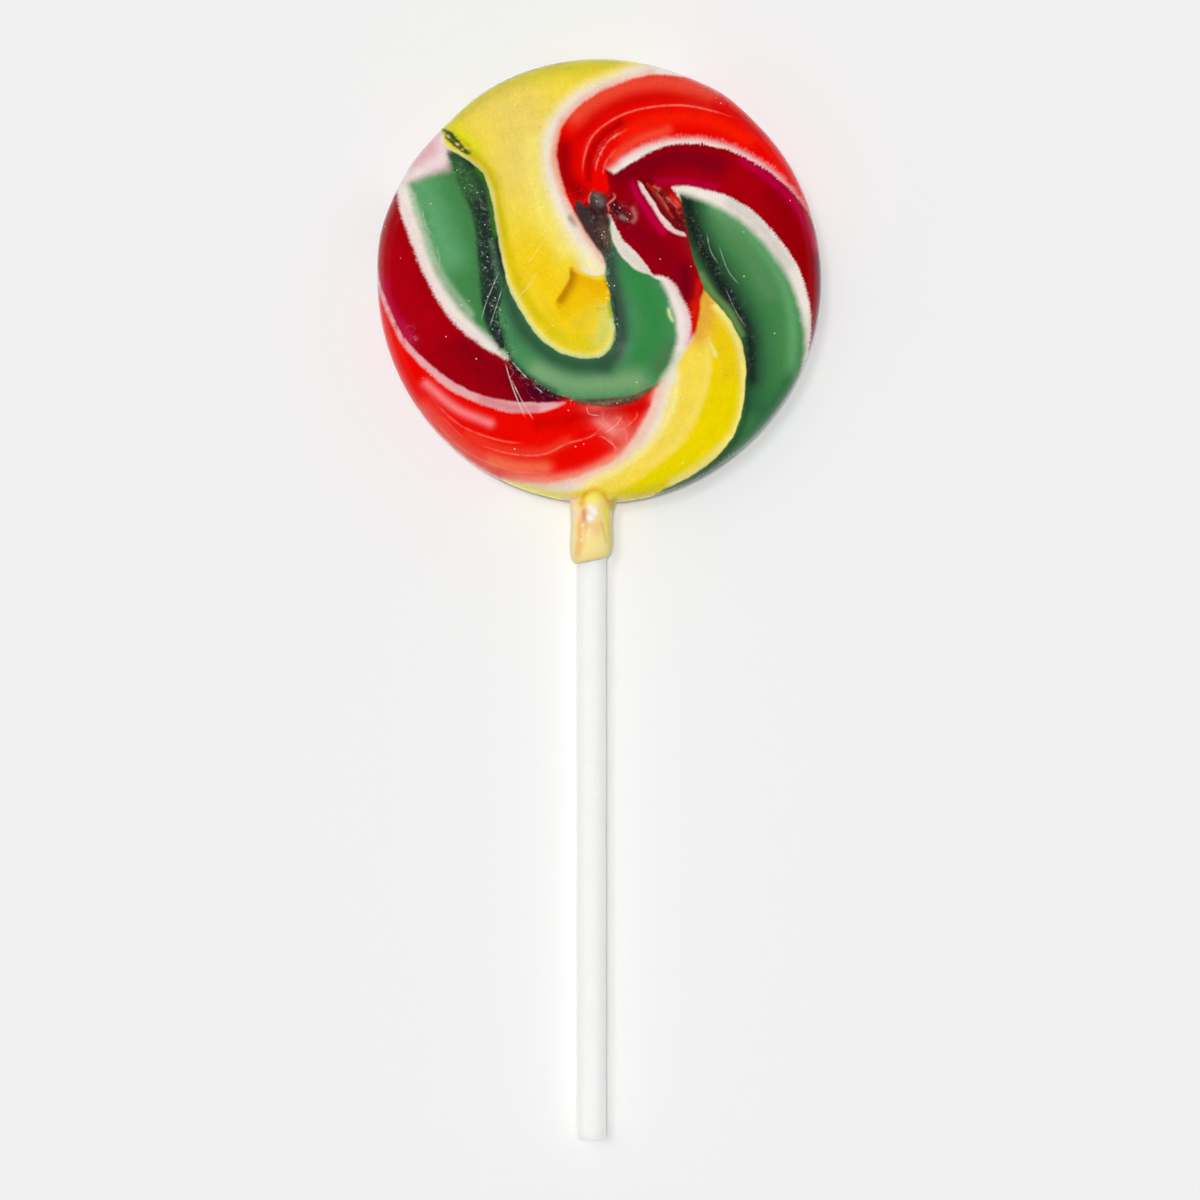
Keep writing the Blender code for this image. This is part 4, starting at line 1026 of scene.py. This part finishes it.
def glassy_share(places):
    """How broken and glassy the skin is at each place, from 0 to 1."""
    share = np.zeros(len(places))
    for strength, half_width, points in GLASSY:
        distance = nearest_on(face_line(points), places)[0]
        share = np.maximum(share, strength * np.exp(-((distance / half_width) ** 2)))
    return share


def collar_share(places):
    """1 on the run of sugar round the stick and 0 on the disc, for places in three dimensions."""
    out = np.hypot(places[:, 0], places[:, 1])
    starts, full = COLLAR_INSIDE_RIM
    beyond = smooth_step(HEAD_RADIUS - starts, HEAD_RADIUS - full, out) * (places[:, 1] < 0)
    return beyond * smooth_step(*COLLAR_BESIDE_STICK, np.abs(places[:, 0] - STICK_X))


# What Blender calls the values of each kind of attribute
VALUE_NAMES = {"FLOAT": "value", "FLOAT_VECTOR": "vector", "FLOAT_COLOR": "color"}


def store(mesh, name, kind, *columns):
    """Store a number, a vector or a linear colour on each vertex."""
    layer = mesh.attributes.new(name, kind, "POINT")
    values = np.ascontiguousarray(np.column_stack(columns), dtype=np.float32)
    layer.data.foreach_set(VALUE_NAMES[kind], values.ravel())


def paint_candy(candy):
    """Lay out the bands, colours and grain on the candy's vertices for its material."""
    mesh = candy.data
    flat = np.empty(3 * len(mesh.vertices))
    mesh.vertices.foreach_get("co", flat)
    places = flat.reshape(-1, 3) / MM
    face = places[:, :2]
    zeros, ones = np.zeros(len(face)), np.ones(len(face))
    for name, _, edges in REGIONS:
        store(mesh, f"in_{name}", "FLOAT_VECTOR", region_share(edges, face))
    store(mesh, "seam", "FLOAT_VECTOR", *seam_place(face), zeros)
    for name, lines in (("pale_lines", PALE_LINES), ("dark_lines", DARK_LINES), ("scratches", SCRATCHES)):
        store(mesh, name, "FLOAT_VECTOR", *line_field(lines, face), zeros)
    store(mesh, "glassy", "FLOAT", glassy_share(face))
    store(mesh, "in_collar", "FLOAT", collar_share(places))
    for sugar in SUGARS:
        store(mesh, f"sugar_{sugar}", "FLOAT_COLOR", sugar_colour(sugar, face), ones)
    store(mesh, "grain", "FLOAT_VECTOR", grain_direction(face), zeros)


class Nodes:
    """Short calls for building a material's node tree."""

    def __init__(self, name):
        self.material = bpy.data.materials.new(name)
        self.material.use_nodes = True
        self.tree = self.material.node_tree
        self.shader = self.tree.nodes["Principled BSDF"]

    def add(self, kind, inputs=None, **settings):
        """A node with its settings, and its inputs set or linked."""
        node = self.tree.nodes.new(kind)
        for name, value in settings.items():
            setattr(node, name, value)
        for name, value in (inputs or {}).items():
            self.put(node.inputs[name], value)
        return node

    def put(self, socket, value):
        """Link a socket to another node's output, or set its value."""
        if isinstance(value, bpy.types.NodeSocket):
            self.tree.links.new(value, socket)
        else:
            socket.default_value = value

    def shade(self, inputs):
        """Link or set inputs of the material's shader."""
        for name, value in inputs.items():
            self.put(self.shader.inputs[name], value)

    def math(self, operation, *values):
        """Two or more values taken together with one operation, first to last."""
        result = values[0]
        for value in values[1:]:
            result = self.add("ShaderNodeMath", {0: result, 1: value}, operation=operation).outputs[0]
        return result

    def total(self, *values):
        """The values added."""
        return self.math("ADD", *values)

    def product(self, *values):
        """The values multiplied."""
        return self.math("MULTIPLY", *values)

    def stored(self, name, output):
        """A value stored on the mesh, as a number (Fac), a colour (Color) or a vector (Vector)."""
        return self.add("ShaderNodeAttribute", attribute_name=name).outputs[output]

    def place(self):
        """The place on the object in millimetres, as a vector."""
        return self.stretch(self.add("ShaderNodeTexCoord").outputs["Object"], [1.0 / MM] * 3)

    def split(self, vector):
        """The X, Y and Z of a vector."""
        return self.add("ShaderNodeSeparateXYZ", {0: vector}).outputs

    def bump(self, height, strength, distance):
        """A normal bent by a height."""
        inputs = {"Height": height, "Strength": strength, "Distance": distance}
        return self.add("ShaderNodeBump", inputs).outputs["Normal"]

    def noise(self, place, scale, detail=2.0, roughness=0.5, distortion=0.0):
        """A noise value of about 0 to 1."""
        inputs = {"Vector": place, "Scale": scale, "Detail": detail, "Roughness": roughness}
        inputs["Distortion"] = distortion
        return self.add("ShaderNodeTexNoise", inputs).outputs["Fac"]

    def ramp(self, value, low, high, to_low=0.0, to_high=1.0, smooth=True):
        """A value mapped from one range to another, held at the ends."""
        inputs = {"Value": value, "From Min": low, "From Max": high, "To Min": to_low, "To Max": to_high}
        kind = "SMOOTHSTEP" if smooth else "LINEAR"
        return self.add("ShaderNodeMapRange", inputs, interpolation_type=kind).outputs["Result"]

    def mix(self, share, first, second, blend="MIX"):
        """Two colours mixed."""
        node = self.tree.nodes.new("ShaderNodeMix")
        node.data_type = "RGBA"
        node.blend_type = blend
        self.put(node.inputs[0], share)
        self.put(node.inputs[6], first)
        self.put(node.inputs[7], second)
        return node.outputs[2]

    def stretch(self, vector, scale):
        """A vector multiplied along each axis."""
        return self.add("ShaderNodeVectorMath", {0: vector, 1: scale}, operation="MULTIPLY").outputs[0]

    def join(self, first, second):
        """Two vectors added."""
        return self.add("ShaderNodeVectorMath", {0: first, 1: second}, operation="ADD").outputs[0]

    def grey(self, value):
        """A grey of the lightness given."""
        return self.add("ShaderNodeCombineColor", {0: value, 1: value, 2: value}).outputs[0]


def rgba(colour):
    """A linear colour with full alpha from sRGB values of 0 to 255."""
    return (*linear(colour).tolist(), 1.0)


# Noise in the sugar: scale and detail, and where it isn't the usual one, roughness and distortion
HAIRS = (1.0, 1.0, 0.5)
WAVER = (0.6, 2.0)
STREAKS = (1.0, 3.0, 0.6)
MOTTLE = (0.45, 4.0, 0.6)
DUST = (4.6, 2.0, 0.7)
BREAKS = (1.1, 2.0)
SHARDS = (1.5, 4.0, 0.7, 0.8)
FINE = (1.4, 3.0, 0.6)

# How closely hairs and streaks are set along and across the grain, and streaks in all directions
HAIR_SCALE = (6.5, 0.9, 0.0)
STREAK_SCALE = (30.0, 30.0, 30.0)
STREAK_PLACE_SCALE = (0.25, 0.25, 0.25)

# The middle of a noise's range, narrow and wide
NARROW = (0.3, 0.7)
WIDE = (0.25, 0.75)

# What each noise does to the light
STREAK_LIGHT = (0.975, 1.02)
MOTTLE_LIGHT = (-0.03, 0.03)
HAIR_LIGHT = (-0.025, 0.025)
DUST_LIGHT = (-0.04, 0.04)

# Painted shade and light on the rim by height, darker low down and lighter on the shoulder: lower and upper
# height (mm) and the factor at each
PAINTED_UNDERCUT_SHADE = (2.0, 5.0, 0.45, 1.0)
PAINTED_SHOULDER_LIGHT = (5.0, 8.4, 1.35, 1.0)

# Drawn lines: their name, half width (mm) and colour, and how the noise breaks them up
DRAWN_LINES = [
    ("dark_lines", 0.42, (38, 34, 30)), ("pale_lines", 0.26, (252, 160, 140)),
    ("scratches", 0.12, (236, 240, 236)),
]
LINE_BREAKS = (0.25, 0.6, 0.25, 1.0)

# Shards and glints where the skin is broken: the noise's range and the share there, colour and its share
PALE_SHARDS = (0.54, 0.62, 0.0, 0.5)
PALE_SHARD_COLOUR, PALE_SHARD_SHARE = (220, 226, 214), 0.4
DARK_SHARDS = (0.38, 0.47, 0.75, 0.0)
DARK_SHARD_COLOUR, DARK_SHARD_SHARE = (20, 16, 16), 0.75
GLINT_RANGE = (0.2, 0.7)
GLINT_COLOUR = (252, 252, 246)

# Specks: scale, radius (mm) and the share of the scattered points that are one. The core is the share of
# the radius that has the full colour
GLINTS = (2.7, 0.11, 0.13)
# The pale specks are partly the sugar's bloom and partly painted glints off tiny bubbles
PALE_SPECKS = (0.9, 0.12, 0.12)
PALE_SPECK_COLOUR = (255, 236, 226)
DARK_SPECKS = (0.7, 0.1, 0.1)
DARK_SPECK_COLOUR, DARK_SPECK_SHARE = (60, 30, 26), 0.7
DARK_SPECK_STRETCH = (1.0, 1.0, 0.9)
SPECK_CORE = 0.6

# The skin's unevenness: share of each part of its height, half widths (mm) of the lines in it, and its
# strength and depth (m) as a bump
FINE_SHARE, STREAK_SHARE, BROKEN_SHARE = 0.6, 0.4, 6.0
PALE_LINE_SHARE, PALE_LINE_SKIN = 1.2, 0.45
DARK_LINE_SKIN = 0.5
SKIN_STRENGTH, SKIN_DEPTH = 0.8, 0.00005
SUGAR_ROUGHNESS = (0.1, 0.17)


def thin_line(nodes, name, half_width, breaks):
    """The share of a thin drawn line at each place, broken up by a noise value."""
    split = nodes.split(nodes.stored(name, "Vector"))
    away = nodes.ramp(nodes.math("ABSOLUTE", split["X"], 0.0), 0.0, half_width, 1.0, 0.0)
    return nodes.product(away, split["Y"], breaks)


def specks(nodes, place, scale, radius, chosen):
    """The share of small round specks: a few of many scattered points."""
    scatter = nodes.add("ShaderNodeTexVoronoi", {"Vector": place, "Scale": scale, "Randomness": 1.0})
    split = nodes.add("ShaderNodeSeparateColor", {0: scatter.outputs["Color"]}).outputs
    dot = nodes.ramp(scatter.outputs["Distance"], radius * scale * SPECK_CORE, radius * scale, 1.0, 0.0)
    return nodes.product(dot, nodes.math("GREATER_THAN", split[0], 1.0 - chosen))


def band_colour(nodes, place, hairs):
    """The bands' colours, laid over each other with blended and fringed seams."""
    fringe = nodes.ramp(hairs, *WIDE, -1.0, 1.0, smooth=False)
    waver = nodes.ramp(nodes.noise(place, *WAVER), *WIDE, -1.0, 1.0, smooth=False)
    colour = nodes.stored("sugar_crimson", "Color")
    for name, sugar, _ in REGIONS:
        split = nodes.split(nodes.stored(f"in_{name}", "Vector"))
        depth = nodes.total(split["X"], nodes.product(split["Y"], fringe), nodes.product(split["Z"], waver))
        colour = nodes.mix(nodes.ramp(depth, -1.0, 1.0), colour, nodes.stored(f"sugar_{sugar}", "Color"))
    return colour


def sugar_light(nodes, place, hairs, streaks):
    """How light the sugar is: its streaks, mottling, hairs and dust, and the rim's painted shade and light by
    height.
    """
    height = nodes.split(place)["Z"]
    light = nodes.total(
        nodes.ramp(streaks, *NARROW, *STREAK_LIGHT),
        nodes.ramp(nodes.noise(place, *MOTTLE), *NARROW, *MOTTLE_LIGHT),
        nodes.ramp(hairs, *NARROW, *HAIR_LIGHT),
        nodes.ramp(nodes.noise(place, *DUST), *NARROW, *DUST_LIGHT),
    )
    return nodes.product(light, nodes.ramp(height, *PAINTED_UNDERCUT_SHADE), nodes.ramp(height, *PAINTED_SHOULDER_LIGHT))


def broken_colour(nodes, colour, place, glassy, shards):
    """The colour with pale and dark shards and glints where the skin is broken."""
    pale = nodes.product(glassy, nodes.ramp(shards, *PALE_SHARDS))
    dark = nodes.product(glassy, nodes.ramp(shards, *DARK_SHARDS))
    glints = nodes.product(specks(nodes, place, *GLINTS), nodes.ramp(glassy, *GLINT_RANGE))
    colour = nodes.mix(pale, colour, nodes.mix(PALE_SHARD_SHARE, colour, rgba(PALE_SHARD_COLOUR)))
    colour = nodes.mix(dark, colour, nodes.mix(DARK_SHARD_SHARE, colour, rgba(DARK_SHARD_COLOUR)))
    return nodes.mix(glints, colour, rgba(GLINT_COLOUR))


def speckled_colour(nodes, colour, place):
    """The colour with pale specks (bloom, and painted glints) and dark specks all over."""
    pale = specks(nodes, place, *PALE_SPECKS)
    dark = specks(nodes, nodes.stretch(place, DARK_SPECK_STRETCH), *DARK_SPECKS)
    colour = nodes.mix(pale, colour, rgba(PALE_SPECK_COLOUR))
    return nodes.mix(nodes.product(dark, DARK_SPECK_SHARE), colour, rgba(DARK_SPECK_COLOUR))


def skin_height(nodes, fine, streaks, breaks, broken):
    """The height of the uneven skin: raised at pale lines and shards, sunk at dark lines."""
    pale = nodes.product(thin_line(nodes, "pale_lines", PALE_LINE_SKIN, breaks), PALE_LINE_SHARE)
    dark = thin_line(nodes, "dark_lines", DARK_LINE_SKIN, breaks)
    skin = nodes.total(nodes.product(fine, FINE_SHARE), nodes.product(streaks, STREAK_SHARE), pale)
    return nodes.total(nodes.math("SUBTRACT", skin, dark), nodes.product(broken, BROKEN_SHARE))


def sugar_material():
    """Glossy boiled sugar: bands and seams, grain, drawn lines, shards, specks and an uneven skin."""
    nodes = Nodes("twisted_sugar")
    place = nodes.place()
    hairs = nodes.noise(nodes.stretch(nodes.stored("seam", "Vector"), HAIR_SCALE), *HAIRS)
    grain = nodes.stretch(nodes.stored("grain", "Vector"), STREAK_SCALE)
    streaks = nodes.noise(nodes.join(grain, nodes.stretch(place, STREAK_PLACE_SCALE)), *STREAKS)
    breaks = nodes.ramp(nodes.noise(place, *BREAKS), *LINE_BREAKS)
    glassy = nodes.stored("glassy", "Fac")
    shards = nodes.noise(place, *SHARDS)
    fine = nodes.noise(place, *FINE)

    light = nodes.grey(sugar_light(nodes, place, hairs, streaks))
    colour = nodes.mix(1.0, band_colour(nodes, place, hairs), light, "MULTIPLY")
    for name, half_width, line_colour in DRAWN_LINES:
        colour = nodes.mix(thin_line(nodes, name, half_width, breaks), colour, rgba(line_colour))
    colour = broken_colour(nodes, colour, place, glassy, shards)
    colour = speckled_colour(nodes, colour, place)
    colour = nodes.mix(nodes.stored("in_collar", "Fac"), colour, nodes.stored("sugar_collar", "Color"))

    skin = skin_height(nodes, fine, streaks, breaks, nodes.product(glassy, shards))
    nodes.shade({
        "Base Color": colour,
        "Roughness": nodes.ramp(fine, *NARROW, *SUGAR_ROUGHNESS),
        "Normal": nodes.bump(skin, SKIN_STRENGTH, SKIN_DEPTH),
        "IOR": 1.5,
        "Specular IOR Level": 0.25,
        "Subsurface Weight": 0.4,
        "Subsurface Radius": (1.0, 0.9, 0.8),
        "Subsurface Scale": 0.0014,
    })
    return nodes.material


# Noise in the paper: scale, detail and roughness; how its fibres are drawn out, and its two tones
FIBRE = (2.2, 4.0, 0.6)
FIBRE_STRETCH = (1.0, 0.35, 1.0)
BLOTCH = (0.22, 3.0, 0.5)
TONE_RANGE = (0.35, 0.65)
PAPER_TONES = ((251, 249, 240), (254, 253, 248))
PAPER_BUMP = (0.3, 0.00008)
PAPER_ROUGHNESS = (0.62, 0.8)


def paper_material():
    """Matt rolled paper: warm white, faintly mottled and fibrous."""
    nodes = Nodes("rolled_paper")
    place = nodes.place()
    fibre = nodes.noise(nodes.stretch(place, FIBRE_STRETCH), *FIBRE)
    tone = nodes.total(nodes.product(fibre, 0.5), nodes.product(nodes.noise(place, *BLOTCH), 0.5))
    darker, lighter = PAPER_TONES
    nodes.shade({
        "Base Color": nodes.mix(nodes.ramp(tone, *TONE_RANGE), rgba(darker), rgba(lighter)),
        "Roughness": nodes.ramp(fibre, *NARROW, *PAPER_ROUGHNESS),
        "Normal": nodes.bump(fibre, *PAPER_BUMP),
        "Sheen Weight": 0.9,
        "Sheen Roughness": 0.6,
        "Subsurface Weight": 0.8,
        "Subsurface Radius": (1.0, 1.0, 0.9),
        "Subsurface Scale": 0.0025,
    })
    return nodes.material


# The stick's ends: rounding, rings of the rolled end as radius and depth, and the depth of its middle
STICK_END_ROUND = 0.35
STICK_END_RINGS = [(0.25, 0.12), (0.9, 0.04)]
STICK_END_DEPTH = 0.15

# The stick's dents: depth, how they vary round and along it, and the radius inside which there are none
DENT_DEPTH = 0.012
DENT_AROUND = 1.3
DENT_ALONG = 0.16
DENT_FREE_RADIUS = 1.0

# How much thinner the paper is than the frame's stick, so that its dents stay inside: share and millimetres
STICK_THINNER_SHARE = 0.002
STICK_THINNER = 0.008


def stick_profile():
    """Radius and distance from the stick's outer end (mm) of its rings."""
    length = STICK_FRONT - STICK_BACK
    end = STICK_END_RINGS + [(STICK_RADIUS - STICK_END_ROUND, 0.0)]
    for step in range(1, STICK_END_STEPS + 1):
        turn = math.radians(90.0 * step / STICK_END_STEPS)
        radius = STICK_RADIUS - STICK_END_ROUND * (1 - math.sin(turn))
        end.append((radius, STICK_END_ROUND * (1 - math.cos(turn))))
    straight = length - 2 * STICK_END_ROUND
    side = [(STICK_RADIUS, STICK_END_ROUND + straight * step / STICK_RINGS) for step in range(1, STICK_RINGS)]
    return end + side + [(radius, length - along) for radius, along in end[::-1]]


def dent(turn, along):
    """How far (mm) the paper stands out at an angle round the stick and a place along it."""
    place = Vector((math.cos(turn) * DENT_AROUND, math.sin(turn) * DENT_AROUND, along * DENT_ALONG))
    return DENT_DEPTH * noise.noise(place)


def build_stick():
    """The paper stick, slightly uneven along its length, with rounded, rolled ends."""
    sides = STICK_SIDES
    turns = np.arange(sides) * 2 * math.pi / sides
    rows = []
    for radius, along in stick_profile():
        dents = np.array([dent(turn, along) for turn in turns]) * (radius > DENT_FREE_RADIUS)
        reach = radius * (1 - STICK_THINNER_SHARE) + dents - STICK_THINNER
        across, up = reach * np.sin(turns), reach * np.cos(turns)
        rows.append(np.column_stack([STICK_X + across, np.full(sides, STICK_BACK + along), AXIS_HEIGHT + up]))
    count = len(rows)
    places = np.vstack(rows + [
        [[STICK_X, STICK_BACK + STICK_END_DEPTH, AXIS_HEIGHT]],
        [[STICK_X, STICK_FRONT - STICK_END_DEPTH, AXIS_HEIGHT]],
    ])
    faces = [stitch(row * sides, sides, (row + 1) * sides, sides) for row in range(count - 1)]
    faces.append(stitch(count * sides, 1, 0, sides))
    faces.append(stitch((count - 1) * sides, sides, count * sides + 1, 1))
    stick = new_object("paper_stick", places, np.vstack(faces))
    face_outward(stick)
    stick.data.shade_smooth()
    stick.data.set_sharp_from_angle(angle=math.radians(STICK_SHARP_ANGLE))
    return stick


# The floor: half its width (mm), and its faint mottling's scale, detail and two greys
FLOOR_REACH = 3000.0
FLOOR_MOTTLE = (3.0, 2.0)
FLOOR_GREYS = (238, 240)


def build_stage():
    """The pale floor."""
    reach = FLOOR_REACH
    corners = [(-reach, -reach, 0.0), (reach, -reach, 0.0), (reach, reach, 0.0), (-reach, reach, 0.0)]
    floor = new_object("floor", corners, [(0, 1, 2, 3)])
    nodes = Nodes("pale_floor")
    mottle = nodes.noise(nodes.add("ShaderNodeTexCoord").outputs["Object"], *FLOOR_MOTTLE)
    darker, lighter = [rgba((grey, grey, grey)) for grey in FLOOR_GREYS]
    grey = nodes.mix(mottle, darker, lighter)
    nodes.shade({"Base Color": grey, "Roughness": 1.0, "Specular IOR Level": 0.0})
    floor.data.materials.append(nodes.material)


# Lamps: name, share of the floor's light, spread (degrees) and where each comes from
LAMPS = [("overhead", 0.63, 8.0, (-0.02, 0.015, 1.0)), ("key", 0.21, 14.0, (-0.25, 0.2, 1.0))]

# The panel that makes the glints: where it comes from, distance and side (mm), and power
PANEL_FROM = (-0.60, 0.50, 1.0)
PANEL_DISTANCE = 1500.0
PANEL_SIDE = 360.0
PANEL_POWER = 0.8

# The room: light at its sides and overhead, and the heights (0 down, 1 up) between which it changes
ROOM_SIDE = 0.26
ROOM_ZENITH = 0.004
ROOM_TURN = 0.62
ROOM_DARK_FROM = 0.88


def turned_from(direction):
    """The rotation of a lamp that stands in a direction and shines from there at the lollipop."""
    return direction.to_track_quat("Z", "Y").to_euler()


def add_lamp(name, share, spread, source):
    """A soft far lamp that gives the floor a share of its light; it makes no mirror image on the sugar."""
    direction = Vector(source).normalized()
    lamp = bpy.data.lights.new(name, "SUN")
    lamp.energy = math.pi * share / direction.z
    lamp.angle = math.radians(spread)
    thing = add_to_scene(name, lamp)
    thing.rotation_euler = turned_from(direction)
    thing.visible_glossy = False


def add_panel():
    """A small panel that the gloss mirrors as glints."""
    direction = Vector(PANEL_FROM).normalized()
    panel = bpy.data.lights.new("panel", "AREA")
    panel.size = PANEL_SIDE * MM
    panel.energy = PANEL_POWER
    thing = add_to_scene("panel", panel)
    thing.location = direction * PANEL_DISTANCE * MM
    thing.rotation_euler = turned_from(direction)


def build_room():
    """Light from all round, pale at the sides and dark overhead."""
    world = bpy.data.worlds.new("studio")
    bpy.context.scene.world = world
    world.use_nodes = True
    tree = world.node_tree
    place = tree.nodes.new("ShaderNodeTexCoord")
    split = tree.nodes.new("ShaderNodeSeparateXYZ")
    ramp = tree.nodes.new("ShaderNodeValToRGB")
    tree.links.new(place.outputs["Generated"], split.inputs[0])
    tree.links.new(split.outputs["Z"], ramp.inputs["Fac"])
    tree.links.new(ramp.outputs["Color"], tree.nodes["Background"].inputs["Color"])
    side, zenith = ramp.color_ramp.elements
    side.position, side.color = ROOM_TURN, (ROOM_SIDE, ROOM_SIDE, ROOM_SIDE, 1.0)
    zenith.position, zenith.color = ROOM_DARK_FROM, (ROOM_ZENITH, ROOM_ZENITH, ROOM_ZENITH, 1.0)


def build_camera():
    """The photograph's camera, looking straight down."""
    camera = bpy.data.cameras.new("camera")
    camera.sensor_width = CAMERA_SENSOR
    camera.lens = CAMERA_SENSOR * CAMERA_DISTANCE / VIEW_WIDTH
    camera.clip_start = CAMERA_CLIP
    thing = add_to_scene("camera", camera)
    thing.location = Vector((CAMERA_X, CAMERA_Y, HALF_THICKNESS + CAMERA_DISTANCE)) * MM
    bpy.context.scene.camera = thing


def main():
    """Dress the frame."""
    candy = build_candy_form()
    paint_candy(candy)
    candy.data.materials.clear()
    candy.data.materials.append(sugar_material())
    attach(candy, "root")
    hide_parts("candy")
    stick = build_stick()
    stick.data.materials.append(paper_material())
    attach(stick, "root")
    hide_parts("stick")
    build_stage()
    for lamp in LAMPS:
        add_lamp(*lamp)
    add_panel()
    build_room()
    build_camera()
    bpy.context.scene.view_settings.view_transform = "Standard"


main()
